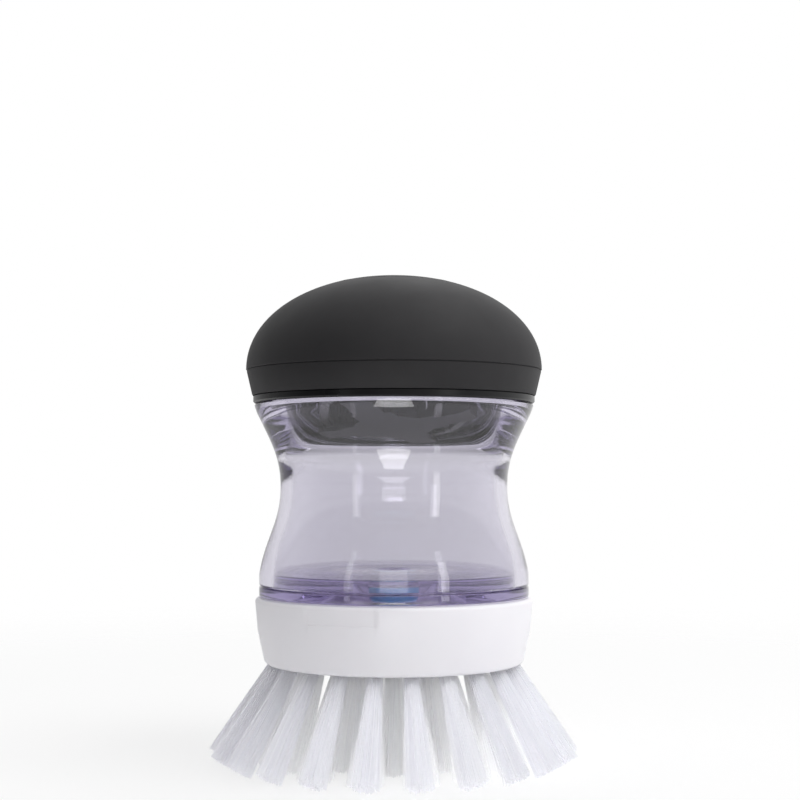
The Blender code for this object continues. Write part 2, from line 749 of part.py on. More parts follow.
def make_piston(parts, body_material, seal_material):
    """The piston with its stem, and the rubber ring in its groove."""
    bottom = piston_bottom_level()
    top = bottom + PISTON_BODY_HEIGHT
    stem_top = button_flange_top() - BUTTON_FLANGE_HEIGHT - SEAT_GAP
    groove_bottom = (bottom + top - GROOVE_HEIGHT) / 2
    groove_top = groove_bottom + GROOVE_HEIGHT
    profile = [
        (0, stem_top),
        (STEM_RADIUS, stem_top),
        (STEM_RADIUS, top),
        (piston_radius, top),
        (piston_radius, groove_top),
        (groove_radius, groove_top),
        (groove_radius, groove_bottom),
        (piston_radius, groove_bottom),
        (piston_radius, bottom),
        (spring_boss_radius, bottom),
        (spring_boss_radius, bottom - SPRING_BOSS_HEIGHT),
        (0, bottom - SPRING_BOSS_HEIGHT),
    ]
    finish(turned("piston", profile, parts, RING_STEPS, closed=False), body_material)
    seal_top = groove_top - SEAT_GAP
    seal_bottom = groove_bottom + SEAT_GAP
    seal_outer = guide_bore_radius - SEAT_GAP
    seal_inner = groove_radius + SEAT_GAP
    seal_profile = [
        (seal_outer, seal_top),
        (seal_outer, seal_bottom),
        (seal_inner, seal_bottom),
        (seal_inner, seal_top),
    ]
    finish(turned("piston_seal", seal_profile, parts, RING_STEPS), seal_material)


def make_gasket(parts, material):
    """The flat ring that the reservoir's rim presses against the cap's ceiling."""
    outer = neck_radius - SEAT_GAP
    profile = [
        (outer, gasket_top),
        (outer, gasket_bottom),
        (neck_bore_radius, gasket_bottom),
        (neck_bore_radius, gasket_top),
    ]
    finish(turned("cap_gasket", profile, parts, MAIN_STEPS), material)


def as_mesh(curve_object, name, collection):
    """Turns a curve object into a mesh object with welded caps, and removes the curve."""
    mesh = evaluated_mesh(curve_object, name)
    shape = bmesh.new()
    shape.from_mesh(mesh)
    bmesh.ops.remove_doubles(shape, verts=shape.verts, dist=SEAT_GAP * WELD_SHARE)
    bmesh.ops.recalc_face_normals(shape, faces=shape.faces)
    shape.to_mesh(mesh)
    shape.free()
    obj = new_object(name, mesh, collection)
    obj.matrix_world = curve_object.matrix_world
    bpy.data.objects.remove(curve_object)
    return obj


def make_spring(parts, material):
    """The return spring between the guard and the piston, one unbroken helix of wire."""
    foot = guard_top + SEAT_GAP + SPRING_WIRE_RADIUS
    head = piston_bottom_level() - SEAT_GAP - SPRING_WIRE_RADIUS
    count = SPRING_CURLS * POINTS_PER_CURL
    points = []
    for step in range(count + 1):
        angle = math.tau * step / POINTS_PER_CURL
        level = foot + (head - foot) * step / count
        points.append(Vector((SPRING_RADIUS * math.cos(angle), SPRING_RADIUS * math.sin(angle), level)))
    apart = [
        (points[first] - points[second]).length
        for first in range(count + 1)
        for second in range(first + POINTS_PER_CURL // 2, count + 1)
    ]
    print(f"return_spring: least gap to itself {1000 * (min(apart) - 2 * SPRING_WIRE_RADIUS):.2f} mm")
    curve = bpy.data.curves.new("return_spring_path", "CURVE")
    curve.dimensions = "3D"
    curve.bevel_depth = SPRING_WIRE_RADIUS
    curve.bevel_resolution = 1
    curve.use_fill_caps = True
    spline = curve.splines.new("POLY")
    spline.points.add(count)
    for point, place in zip(spline.points, points):
        point.co = (*place, 1)
    path = new_object("return_spring_path", curve, parts)
    finish(as_mesh(path, "return_spring", parts), material)


def make_guard(parts, guides, material):
    """The four-armed plate that clips on the guide tube and carries the spring."""
    curve = bpy.data.curves.new("guard_outline", "CURVE")
    curve.dimensions = "2D"
    curve.fill_mode = "BOTH"
    curve.extrude = GUARD_THICKNESS / 2
    half = GUARD_ARM_WIDTH / 2
    wide = GUARD_STEP_WIDTH / 2
    step = GUARD_HUB_RADIUS + GUARD_STEP_REACH
    root = math.sqrt(GUARD_HUB_RADIUS ** 2 - wide ** 2)
    corners = [
        (root, -wide), (step, -wide), (step, -half), (guard_arm_radius, -half),
        (guard_arm_radius, half), (step, half), (step, wide), (root, wide),
    ]
    outline = []
    for arm in range(GUARD_ARM_COUNT):
        turn = Matrix.Rotation(math.radians(GUARD_TURN_DEG) + math.tau * arm / GUARD_ARM_COUNT, 2)
        valley = Matrix.Rotation(math.pi / GUARD_ARM_COUNT, 2) @ Vector((GUARD_HUB_RADIUS, 0))
        outline += [turn @ Vector(corner) for corner in corners]
        outline.append(turn @ valley)
    spline = curve.splines.new("POLY")
    spline.points.add(len(outline) - 1)
    for point, place in zip(spline.points, outline):
        point.co = (*place, 0, 1)
    spline.use_cyclic_u = True
    plate = new_object("guard_outline", curve, parts)
    plate.location.z = guard_bottom + GUARD_THICKNESS / 2
    bpy.context.view_layer.update()
    guard = as_mesh(plate, "cross_guard", parts)

    seat = turned("guard_seat", [
        (0, guard_top + SPRING_BOSS_HEIGHT),
        (spring_boss_radius, guard_top + SPRING_BOSS_HEIGHT),
        (spring_boss_radius, guard_top - CUT_OVERRUN),
        (0, guard_top - CUT_OVERRUN),
    ], guides, SMALL_STEPS, closed=False)
    as_guide(seat)
    combine(guard, seat, "UNION")
    clip_start = GUIDE_RADIUS + SEAT_GAP
    clip_width = guard_arm_radius - SEAT_GAP - clip_start
    for arm in range(GUARD_ARM_COUNT):
        shape = bmesh.new()
        turn = Matrix.Rotation(math.radians(GUARD_TURN_DEG) + math.tau * arm / GUARD_ARM_COUNT, 4, "Z")
        size = Matrix.Diagonal((clip_width, half, CLIP_HEIGHT + CUT_OVERRUN, 1))
        lift = guard_top + (CLIP_HEIGHT - CUT_OVERRUN) / 2
        place = Matrix.Translation((clip_start + clip_width / 2, 0, lift))
        bmesh.ops.create_cube(shape, size=1, matrix=turn @ place @ size)
        mesh = bpy.data.meshes.new(f"clip_{arm + 1}")
        shape.to_mesh(mesh)
        shape.free()
        clip = new_object(f"clip_{arm + 1}", mesh, guides)
        as_guide(clip)
        combine(guard, clip, "UNION")
    finish(guard, material)


def build():
    """Clears the scene and makes every piece of the brush."""
    for old in list(bpy.data.objects):
        bpy.data.objects.remove(old)
    parts = bpy.data.collections.new("palm_brush")
    guides = bpy.data.collections.new("cutters")
    bpy.context.scene.collection.children.link(parts)
    bpy.context.scene.collection.children.link(guides)

    black_grip = plastic("black_soft_grip", (0.022, 0.021, 0.022), 0.55)
    black_button = plastic("black_button", (0.026, 0.025, 0.026), 0.5)
    black_shell = plastic("black_shell", (0.01, 0.01, 0.011), 0.3)
    grey_guard = plastic("grey_guard", (0.06, 0.058, 0.064), 0.5)
    black_piston = plastic("black_piston", (0.02, 0.02, 0.022), 0.4)
    black_seal = plastic("black_seal_rubber", (0.012, 0.012, 0.012), 0.7)
    gasket_rubber = plastic("gasket_rubber", (0.03, 0.03, 0.032), 0.7)
    spring_steel = plastic("spring_steel", (0.6, 0.6, 0.62), 0.25, metallic=1)
    clear_body = plastic("clear_lavender_body", (0.78, 0.76, 0.86), 0.05, transmission=0.9)
    clear_plate = plastic("clear_lavender_plate", (0.70, 0.67, 0.84), 0.05, transmission=0.9)
    clear_nozzle = plastic("clear_nozzle", (0.80, 0.80, 0.88), 0.05, transmission=0.9)
    blue_valve = plastic("blue_silicone", (0.16, 0.28, 0.66), 0.35)
    white_block = plastic("white_block", (0.80, 0.79, 0.82), 0.35)
    white_bristle = plastic("white_bristle", (0.84, 0.84, 0.88), 0.5)

    make_head_block(parts, guides, white_block)
    make_tufts(parts, guides, white_bristle)
    make_base_plate(parts, guides, clear_plate)
    make_valve(parts, blue_valve)
    make_nozzle(parts, clear_nozzle)
    make_reservoir_body(parts, guides, clear_body)
    make_gasket(parts, gasket_rubber)
    make_cap_shell(parts, guides, black_shell)
    make_grip_cover(parts, black_grip)
    make_push_button(parts, black_button)
    make_piston(parts, black_piston, black_seal)
    make_spring(parts, spring_steel)
    make_guard(parts, guides, grey_guard)


build()
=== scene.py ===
# %% [markdown]
# # A palm brush that holds its own soap
#
# The brush has three main parts. A black cap fits the palm and carries a push button with a
# small pump. A clear, waisted reservoir holds the soap and screws into the cap. A white head
# with forty-four splayed tufts takes the reservoir in a coarse bayonet.
#
# Almost every piece is round, so most of them are turned from a drawn outline. What repeats or
# climbs round the axis, such as threads, lugs, tufts and the spring, is made with Geometry Nodes.
# The hard part is the look of the clear plastic, so the light is planned before the pieces.

# %% Load the solid model that every piece has to fit
import math

import bmesh
import bpy
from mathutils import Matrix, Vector


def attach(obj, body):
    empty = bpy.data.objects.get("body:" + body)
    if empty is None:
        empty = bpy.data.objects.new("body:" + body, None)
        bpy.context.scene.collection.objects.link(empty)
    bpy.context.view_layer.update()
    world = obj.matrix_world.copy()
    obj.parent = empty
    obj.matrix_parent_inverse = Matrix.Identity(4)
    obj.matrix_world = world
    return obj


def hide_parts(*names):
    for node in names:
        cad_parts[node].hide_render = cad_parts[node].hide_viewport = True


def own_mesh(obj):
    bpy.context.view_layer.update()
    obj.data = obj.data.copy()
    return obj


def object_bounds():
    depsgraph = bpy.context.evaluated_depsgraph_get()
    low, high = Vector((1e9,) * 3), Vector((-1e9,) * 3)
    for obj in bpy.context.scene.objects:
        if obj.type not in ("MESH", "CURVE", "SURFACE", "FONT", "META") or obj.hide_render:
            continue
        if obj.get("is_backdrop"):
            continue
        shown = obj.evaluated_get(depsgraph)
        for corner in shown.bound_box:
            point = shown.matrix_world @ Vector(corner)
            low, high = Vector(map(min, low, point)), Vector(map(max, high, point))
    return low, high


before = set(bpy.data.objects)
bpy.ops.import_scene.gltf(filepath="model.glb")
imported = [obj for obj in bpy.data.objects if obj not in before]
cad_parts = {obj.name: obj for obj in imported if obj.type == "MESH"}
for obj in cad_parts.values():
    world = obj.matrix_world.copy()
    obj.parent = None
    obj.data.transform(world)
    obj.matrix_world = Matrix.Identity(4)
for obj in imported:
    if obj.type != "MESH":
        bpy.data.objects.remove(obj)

MM = 0.001
scene = bpy.context.scene
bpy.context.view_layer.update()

# %% [markdown]
# ## Colours and nodes
#
# A colour picked from a picture is an sRGB value, and a shader works with linear light. One
# function turns the hex value of a colour into the linear one, so that every colour below can be
# written as it would be in a paint program.
#
# Shader trees and geometry trees are both made of nodes with settings and links. One function
# adds a node of any kind, sets its properties, and fills its inputs with values or with links
# from other nodes. A node that is given as an input links from its first output.

# %% A hex colour in linear light
def linear(hex_colour):
    """The linear RGBA value of an sRGB colour such as "#2f2e30"."""
    channels = []
    for start in (1, 3, 5):
        value = int(hex_colour[start:start + 2], 16) / 255
        channels.append(value / 12.92 if value <= 0.04045 else ((value + 0.055) / 1.055) ** 2.4)
    return (*channels, 1)


print("mid grey in linear light:", round(linear("#808080")[0], 3))


# %% One function that adds a node
MATH, VECTOR_MATH = "ShaderNodeMath", "ShaderNodeVectorMath"
SMOOTH_RAMP = {"interpolation_type": "SMOOTHSTEP"}


def add_node(tree, kind, settings=None, inputs=None):
    """Adds a node. Settings are its properties, or the name of its operation alone. Inputs are
    values, nodes or outputs, by the names of the sockets or in a list from the first one on."""
    node = tree.nodes.new(kind)
    if isinstance(settings, str):
        settings = {"operation": settings}
    for name, value in (settings or {}).items():
        setattr(node, name, value)
    if isinstance(inputs, list):
        inputs = dict(enumerate(inputs))
    for socket, value in (inputs or {}).items():
        if isinstance(value, bpy.types.Node):
            value = value.outputs[0]
        if isinstance(value, bpy.types.NodeSocket):
            tree.links.new(value, node.inputs[socket])
        else:
            node.inputs[socket].default_value = value
    return node


# %% [markdown]
# ## The camera
#
# The picture was taken from the front with a lens of moderate length. Its horizon lies a little
# under the middle of the reservoir: the cap is seen from below and the head from slightly above.
# Three measurements fix the camera: the height of that horizon, the distance at which the rim of
# the cap looks as round as it does, and the width of the cap in pixels.

# %% A camera in front, a little above the worktop
CAMERA_DISTANCE = 309 * MM
CAMERA_HEIGHT = 57.5 * MM
PICTURE_SIDE = 800
FOCAL_PIXELS = 1500
HORIZON_ROW = 480
AXIS_COLUMN = 394

camera_data = bpy.data.cameras.new("camera")
camera_data.sensor_width = 36
camera_data.lens = camera_data.sensor_width * FOCAL_PIXELS / PICTURE_SIDE
camera_data.clip_start = 10 * MM
camera = bpy.data.objects.new("camera", camera_data)
scene.collection.objects.link(camera)
pitch = math.atan((HORIZON_ROW - PICTURE_SIDE / 2) / FOCAL_PIXELS)
sideways = (PICTURE_SIDE / 2 - AXIS_COLUMN) / FOCAL_PIXELS * CAMERA_DISTANCE
camera.location = (sideways, -CAMERA_DISTANCE, CAMERA_HEIGHT)
camera.rotation_euler = (math.pi / 2 + pitch, 0, 0)
scene.camera = camera
print(f"lens {camera_data.lens:.1f} mm, pitched up {math.degrees(pitch):.2f} degrees")

# %% [markdown]
# ## Floor, surroundings and lamps
#
# The picture has a plain white ground. Clear plastic shows whatever stands behind it, so the
# white must be there for rays that pass through the wall as well as for the camera. The light
# that falls on the brush is another matter: it is dimmer in front and on the left, so that a
# round wall gets a dark side. The lamps stay at a level at which a colour renders about as it
# is written.
#
# The floor is a round sheet that fades out before its edge. Close to the brush it keeps a soft
# shadow, and further out it can't be told from the white surroundings.

# %% White surroundings: a bright backdrop behind, and a dimmer room in front
world = bpy.data.worlds.new("studio")
world.use_nodes = True
scene.world = world
tree = world.node_tree
tree.nodes.clear()
direction = add_node(tree, "ShaderNodeTexCoord")
towards = add_node(tree, "ShaderNodeSeparateXYZ", inputs=[direction.outputs["Generated"]])
aside = add_node(tree, MATH, "ABSOLUTE", [towards.outputs["X"]])
backdrop, overhead, bright_side, behind, to_sides = [
    add_node(tree, "ShaderNodeMapRange", SMOOTH_RAMP, {
        "Value": source, "From Min": start, "From Max": end, "To Min": low, "To Max": high,
    })
    for source, start, end, low, high in (
        (towards.outputs["Y"], -0.55, 0.35, 0.34, 0.85),
        (towards.outputs["Z"], -0.2, 0.9, 0.0, 0.3),
        (towards.outputs["X"], -0.9, 0.9, -0.4, 0.2),
        (towards.outputs["Z"], 0.22, 0.5, 1.0, 0.7),
        (aside, 0.04, 0.3, 0.88, 1.0),
    )
]
upper_glow = add_node(tree, MATH, "ADD", [backdrop, overhead])
glow = add_node(tree, MATH, {"operation": "ADD", "use_clamp": True}, [upper_glow, bright_side])
ray = add_node(tree, "ShaderNodeLightPath")
shown = add_node(tree, MATH, "MAXIMUM", [
    ray.outputs["Is Camera Ray"], ray.outputs["Is Transmission Ray"],
])
seen_through = add_node(tree, MATH, "MULTIPLY", [behind, to_sides])
whiteness = add_node(tree, MATH, "MAXIMUM", [seen_through, ray.outputs["Is Camera Ray"]])
level = add_node(tree, "ShaderNodeMix", {"data_type": "FLOAT"}, {
    "Factor": shown, 2: glow, 3: whiteness,
})
background = add_node(tree, "ShaderNodeBackground", inputs=[linear("#ffffff"), level])
add_node(tree, "ShaderNodeOutputWorld", inputs={"Surface": background})

# %% A floor that fades into the surroundings
FLOOR_RADIUS = 420 * MM
FLOOR_CLEAR_RADIUS = 120 * MM
FLOOR_GONE_RADIUS = FLOOR_RADIUS * 0.95
OWN_WHITE = 0.62           # the share of plain white in what the rays below see of the floor
floor_mesh = bpy.data.meshes.new("floor")
shape = bmesh.new()
bmesh.ops.create_circle(shape, cap_ends=True, segments=96, radius=FLOOR_RADIUS)
shape.to_mesh(floor_mesh)
shape.free()
floor = bpy.data.objects.new("floor", floor_mesh)
scene.collection.objects.link(floor)
floor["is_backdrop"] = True

# %% Its paper, which camera, clear walls and gloss see partly as plain white
sheet = bpy.data.materials.new("white_paper_sheet")
sheet.use_nodes = True
tree = sheet.node_tree
tree.nodes.clear()
paper = add_node(tree, "ShaderNodeBsdfDiffuse", inputs={"Color": linear("#f4f4f4")})
white = add_node(tree, "ShaderNodeEmission", inputs={"Color": linear("#ffffff"), "Strength": 1.0})
ray = add_node(tree, "ShaderNodeLightPath")
seen = add_node(tree, MATH, "MAXIMUM", [
    ray.outputs["Is Camera Ray"], ray.outputs["Is Transmission Ray"],
])
seen_in_gloss = add_node(tree, MATH, "MAXIMUM", [seen, ray.outputs["Is Glossy Ray"]])
share = add_node(tree, MATH, "MULTIPLY", [seen_in_gloss, OWN_WHITE])
surface = add_node(tree, "ShaderNodeMixShader", inputs={"Fac": share, 1: paper, 2: white})
place = add_node(tree, "ShaderNodeTexCoord")
distance = add_node(tree, VECTOR_MATH, "LENGTH", [place.outputs["Object"]])
fade = add_node(tree, "ShaderNodeMapRange", SMOOTH_RAMP, {
    "Value": distance.outputs["Value"], "From Min": FLOOR_CLEAR_RADIUS,
    "From Max": FLOOR_GONE_RADIUS,
})
gone = add_node(tree, "ShaderNodeBsdfTransparent")
faded = add_node(tree, "ShaderNodeMixShader", inputs={"Fac": fade, 1: surface, 2: gone})
add_node(tree, "ShaderNodeOutputMaterial", inputs={"Surface": faded})
floor_mesh.materials.append(sheet)


# %% [markdown]
# ## Lamps
#
# The key softbox stands high on the right, and a fainter one behind. Two tall, narrow strips at
# the sides give the clear wall its two bright upright lines. The softbox at the camera lights
# without being mirrored, because the picture shows no such patch in the clear wall. What it does
# show is one bright patch in the middle, under the lip, so a low panel in front is mirrored there
# and gives no other light.

# %% Softboxes, strips and the low panel
def softbox(name, place, aim, width, height, watts):
    """A rectangular lamp at a place, turned towards a point."""
    lamp = bpy.data.lights.new(name, "AREA")
    lamp.shape = "RECTANGLE"
    lamp.size = width
    lamp.size_y = height
    lamp.energy = watts
    obj = bpy.data.objects.new(name, lamp)
    scene.collection.objects.link(obj)
    obj.location = place
    obj.rotation_euler = (Vector(aim) - Vector(place)).to_track_quat("-Z", "Y").to_euler()
    print(f"{name}: {watts} W, {Vector(place).length:.2f} m away")
    return obj


middle = (0, 0, 60 * MM)
softbox("key_softbox", (0.27, -0.17, 0.60), middle, 0.34, 0.30, 1.35)
front = softbox("front_softbox", (0.0, -0.56, 0.09), middle, 0.24, 0.17, 0.32)
front.visible_glossy = False
glint = softbox("low_front_panel", (0.0, -0.15, 0.004), (0, -0.15, 88 * MM), 0.058, 0.10, 0.075)
glint.visible_diffuse = False
glint.visible_camera = False
softbox("left_strip", (-0.36, -0.46, 0.10), middle, 0.05, 0.42, 0.11)
softbox("right_strip", (0.40, -0.44, 0.10), middle, 0.07, 0.42, 0.28)
softbox("back_softbox", (0.10, 0.42, 0.56), middle, 0.40, 0.30, 0.4)

# Light has to cross several clear walls, so more transmitted bounces are allowed than usual
scene.cycles.max_bounces = 32
scene.cycles.transmission_bounces = 28
scene.cycles.glossy_bounces = 28
scene.cycles.transparent_max_bounces = 16
scene.cycles.diffuse_bounces = 12
scene.view_settings.view_transform = "Standard"

# %% [markdown]
# ## Black soft-touch rubber
#
# The dome and its button are covered with a thermoplastic rubber that is moulded over a hard
# shell. It looks charcoal rather than black, because its fine matt skin scatters a little of
# every light, and it is never quite even: handling leaves cloudy patches with another gloss.
# A noise of about 20 mm makes those patches, and a very fine one makes the skin.
#
# Every finish of the brush is made in this way, from plain values that hold all over the surface
# and from one or two patterns that its colour, gloss and relief follow. So one function makes
# them all, and each finish is a call of it with the numbers of its own material.

# %% A finish whose colour, gloss and relief follow patterns
def brush_finish(name, values, patterns, colours=None, gloss=None, relief=None):
    """A material with plain values on its Principled shader, and patterns that the rest follows.

    A pattern is the size, detail and roughness of a noise, or the name of a mesh attribute.
    Colours are a pattern and two hex values. Gloss is a pattern, the stretch of it that counts,
    and the roughness at its two ends. Relief is a pattern, its strength and its depth.
    """
    material = bpy.data.materials.new(name)
    material.use_nodes = True
    tree = material.node_tree
    shader = tree.nodes["Principled BSDF"]
    for socket, value in values.items():
        shader.inputs[socket].default_value = value
    made = {}
    for label, pattern in patterns.items():
        if isinstance(pattern, str):
            stored = add_node(tree, "ShaderNodeAttribute", {"attribute_name": pattern})
            made[label] = stored.outputs["Fac"]
        else:
            size, detail, roughness = pattern
            place = add_node(tree, "ShaderNodeTexCoord")
            made[label] = add_node(tree, "ShaderNodeTexNoise", inputs={
                "Vector": place.outputs["Object"], "Scale": 1 / size, "Detail": detail,
                "Roughness": roughness,
            })
    if colours:
        label, dark, light = colours
        tone = add_node(tree, "ShaderNodeMix", {"data_type": "RGBA"}, {
            "Factor": made[label], 6: linear(dark), 7: linear(light),
        })
        tree.links.new(tone.outputs[2], shader.inputs["Base Color"])
    if gloss:
        label, *stretch = gloss
        ramp = add_node(tree, "ShaderNodeMapRange", inputs=[made[label], *stretch])
        tree.links.new(ramp.outputs[0], shader.inputs["Roughness"])
    if relief:
        label, strength, depth = relief
        bump = add_node(tree, "ShaderNodeBump", inputs={
            "Strength": strength, "Distance": depth, "Height": made[label],
        })
        tree.links.new(bump.outputs[0], shader.inputs["Normal"])
    return material


# %% Soft-touch rubber, charcoal
CLOUD_SIZE = 20 * MM
SKIN_SIZE = 0.4 * MM       # the real skin is about 0.05 mm, drawn coarser so that it shows
EVEN = 0.5                 # the roughness of a noise that is neither soft nor gritty
soft_touch = brush_finish(
    "soft_touch_rubber_charcoal",
    {"IOR": 1.5, "Specular IOR Level": 0.28, "Sheen Weight": 0.03, "Sheen Roughness": 0.6},
    {"cloud": (CLOUD_SIZE, 3.0, 0.6), "skin": (SKIN_SIZE, 2.0, EVEN)},
    colours=("cloud", "#201f21", "#2a292b"), gloss=("cloud", 0.3, 0.7, 0.72, 0.62),
    relief=("skin", 0.22, 0.03 * MM),
)

# %% [markdown]
# ## Hard black and grey plastics, rubber and steel inside the cap
#
# The shell under the rubber is moulded in a hard, glossy black plastic. Its gloss is what shows
# the thread inside the cap as bright arcs. The guard is a softer plastic in dark grey, with the
# even satin of a spark-eroded mould. The gasket and the piston's ring are matt black rubber, and
# the spring is bright drawn wire.

# %% Glossy black ABS
FLOW_SIZE = 9 * MM
black_abs = brush_finish(
    "moulded_abs_black", {"IOR": 1.54, "Specular IOR Level": 0.2},
    {"flow": (FLOW_SIZE, 4.0, EVEN)},
    colours=("flow", "#0d0d0f", "#1a1a1c"), gloss=("flow", 0.3, 0.7, 0.22, 0.36),
    relief=("flow", 0.2, 0.08 * MM),
)

# %% Satin grey polypropylene for the guard, also used in black for the piston
SPARK_SIZE = 0.35 * MM     # the pits of a spark-eroded mould are finer, drawn coarser to show
satin_grey, satin_black = [
    brush_finish(
        finish, {"IOR": 1.49, "Specular IOR Level": 0.15},
        {"spark": (SPARK_SIZE, 2.0, EVEN), "flow": (FLOW_SIZE, 2.0, EVEN)},
        colours=("flow", dark, light), gloss=("spark", 0.0, 1.0, 0.42, 0.6),
        relief=("spark", 0.3, 0.03 * MM),
    )
    for finish, dark, light in (
        ("satin_polypropylene_grey", "#1f1d21", "#2c2a2f"),
        ("satin_polypropylene_black", "#171719", "#232325"),
    )
]

# %% Matt seal rubber and drawn steel wire
DUST_SIZE = 1.5 * MM       # talc from the mould leaves the rubber unevenly matt
DRAW_MARK_SIZE = 0.25 * MM  # the die's marks are finer, drawn coarser to show
seal_rubber = brush_finish(
    "matt_seal_rubber_black", {"IOR": 1.52}, {"dust": (DUST_SIZE, 5.0, EVEN)},
    colours=("dust", "#1b1b1c", "#2b2b2c"), gloss=("dust", 0.0, 1.0, 0.62, 0.78),
)
drawn_wire = brush_finish(
    "drawn_steel_wire", {"Metallic": 1.0}, {"marks": (DRAW_MARK_SIZE, 2.0, EVEN)},
    colours=("marks", "#a3a2a1", "#d6d5d3"), gloss=("marks", 0.0, 1.0, 0.16, 0.3),
)

# %% [markdown]
# ## Clear lavender plastic
#
# The reservoir is moulded in a clear copolymer of the kind used for drinking cups, with a touch
# of violet toner. Looking straight through a wall, it is nearly grey, and where the light runs
# a long way inside the plastic, as along the flange and in the lip, it turns violet. That isn't
# a surface colour. It is made by a volume that absorbs a little of each colour for each
# millimetre of the way, most of the green and least of the blue.
#
# The floor plate is a moulding of its own, and its walls look deeper violet. Its boss in the
# middle keeps the lighter colour as a painted lift, which stands in for light on the valve behind
# it. So there are two finishes, and they differ only in the colour of the wall away from the axis
# and in how much the volume absorbs.
#
# A moulded wall is never optically flat. A very low, wide ripple bends the refraction a little,
# as the real wall does.

# %% Clear copolymer with a violet toner
RIPPLE_SIZE = 7 * MM
BOSS_LIFT_EDGE, WALL_EDGE = 9 * MM, 14 * MM
clear_plastics = []
for finish, wall_colour, density in (
    ("clear_copolymer_lavender", "#ebeaef", 34.0), ("clear_copolymer_violet", "#d2cbe4", 20.0),
):
    material = brush_finish(
        finish, {"IOR": 1.57, "Transmission Weight": 1.0}, {"ripple": (RIPPLE_SIZE, 1.0, EVEN)},
        gloss=("ripple", 0.3, 0.7, 0.02, 0.06), relief=("ripple", 0.25, 0.12 * MM),
    )
    tree = material.node_tree
    place = add_node(tree, "ShaderNodeTexCoord")
    flat_place = add_node(tree, VECTOR_MATH, "MULTIPLY", [place.outputs["Object"], (1, 1, 0)])
    off_axis = add_node(tree, VECTOR_MATH, "LENGTH", [flat_place])
    # On the violet plate the boss keeps the lighter colour: a painted lift for the light on the
    # valve behind it
    away = add_node(tree, "ShaderNodeMapRange", SMOOTH_RAMP, {
        "Value": off_axis.outputs["Value"], "From Min": BOSS_LIFT_EDGE, "From Max": WALL_EDGE,
    })
    wall = add_node(tree, "ShaderNodeMix", {"data_type": "RGBA"}, {
        "Factor": away, 6: linear("#ebeaef"), 7: linear(wall_colour),
    })
    tree.links.new(wall.outputs[2], tree.nodes["Principled BSDF"].inputs["Base Color"])
    toner = add_node(tree, "ShaderNodeVolumeAbsorption", inputs=[linear("#7c60ae"), density])
    tree.links.new(toner.outputs[0], tree.nodes["Material Output"].inputs["Volume"])
    clear_plastics.append(material)
clear_lavender, clear_violet = clear_plastics

# %% [markdown]
# ## Blue silicone, white polypropylene and nylon
#
# The valve is soft blue silicone, which lets a little light in under its skin. The head is white
# polypropylene, bright but faintly cold, and light also sinks into it by about a millimetre, so
# its edges look soft. The tufts are nylon. A single filament is nearly clear, so most of the
# light goes through it, and a bundle of them is white, because the light is handed from one
# filament to the next until it comes out again.

# %% Blue silicone
VALVE_CLOUD_SIZE = 2.5 * MM
blue_silicone = brush_finish(
    "silicone_blue",
    {"IOR": 1.43, "Subsurface Weight": 0.45, "Subsurface Scale": 1.0 * MM,
     "Subsurface Radius": (0.4, 0.7, 1.0)},
    {"cloud": (VALVE_CLOUD_SIZE, 2.0, EVEN)},
    colours=("cloud", "#7fccff", "#b8e6ff"), gloss=("cloud", 0.0, 1.0, 0.28, 0.42),
)

# %% White polypropylene
HEAD_FLOW_SIZE = 14 * MM
white_plastic = brush_finish(
    "polypropylene_white",
    {"IOR": 1.49, "Subsurface Weight": 0.15, "Subsurface Scale": 1.2 * MM,
     "Subsurface Radius": (1.0, 0.9, 0.9)},
    {"flow": (HEAD_FLOW_SIZE, 3.0, EVEN), "spark": (SPARK_SIZE, 1.0, EVEN)},
    colours=("flow", "#ebe9ef", "#f2f1f5"), gloss=("flow", 0.3, 0.7, 0.32, 0.42),
    relief=("spark", 0.15, 0.03 * MM),
)

# %% Nylon filament
# Its colour follows each filament's own random tone, plus a painted lift toward white on the flat
# rings
nylon = brush_finish(
    "nylon_filament_white",
    {"IOR": 1.53, "Specular IOR Level": 0.4, "Transmission Weight": 0.85},
    {"lifted_tone": "filament_tone_with_painted_lift"},
    colours=("lifted_tone", "#f4f4f8", "#ffffff"), gloss=("lifted_tone", 0.0, 1.0, 0.35, 0.55),
)
print(len(bpy.data.materials), "materials")

# %% [markdown]
# ## Turned pieces
#
# A potter's or turner's outline, swept once round the axis, gives nearly every piece here. The
# outline is a list of radius and height in millimetres. Blender's Screw or Spin would sweep it
# too. Writing the rings directly keeps every vertex where it is wanted, closes the poles with one
# vertex each, and lets the same function make a part of a ring.
#
# No moulded edge is sharp. Each corner of the outline is replaced with a small arc, because it is
# the arcs that catch the light. Edges that turn more than 35 degrees stay sharp in the shading.

# %% Round the corners of an outline
EDGE_ARC_STEPS = 3
LEAST_TURN = math.radians(20)
MOST_OF_SIDE = 0.4         # how much of a short side an arc may take


def eased(outline, ease):
    """The outline with a small arc in place of each corner, apart from those on the axis."""
    rounded = []
    for number, corner in enumerate(outline):
        here = Vector(corner)
        before = Vector(outline[number - 1])
        after = Vector(outline[(number + 1) % len(outline)])
        back, ahead = before - here, after - here
        if corner[0] == 0 or math.pi - back.angle(ahead) < LEAST_TURN:
            rounded.append(corner)
            continue
        reach = min(ease, MOST_OF_SIDE * back.length, MOST_OF_SIDE * ahead.length)
        start, end = here + back.normalized() * reach, here + ahead.normalized() * reach
        for step in range(EDGE_ARC_STEPS + 1):
            share = step / EDGE_ARC_STEPS
            point = start * (1 - share) ** 2 + here * 2 * share * (1 - share) + end * share ** 2
            rounded.append((point.x, point.y))
    return rounded


# %% Sweep an outline round the axis
RING_STEPS, WIDE_STEPS, SMALL_STEPS = 144, 192, 96
SMOOTH_BELOW = math.radians(35)


def shaded(mesh):
    """Smooth shading, apart from edges that turn more than the limit."""
    mesh.shade_smooth()
    mesh.set_sharp_from_angle(angle=SMOOTH_BELOW)
    return mesh


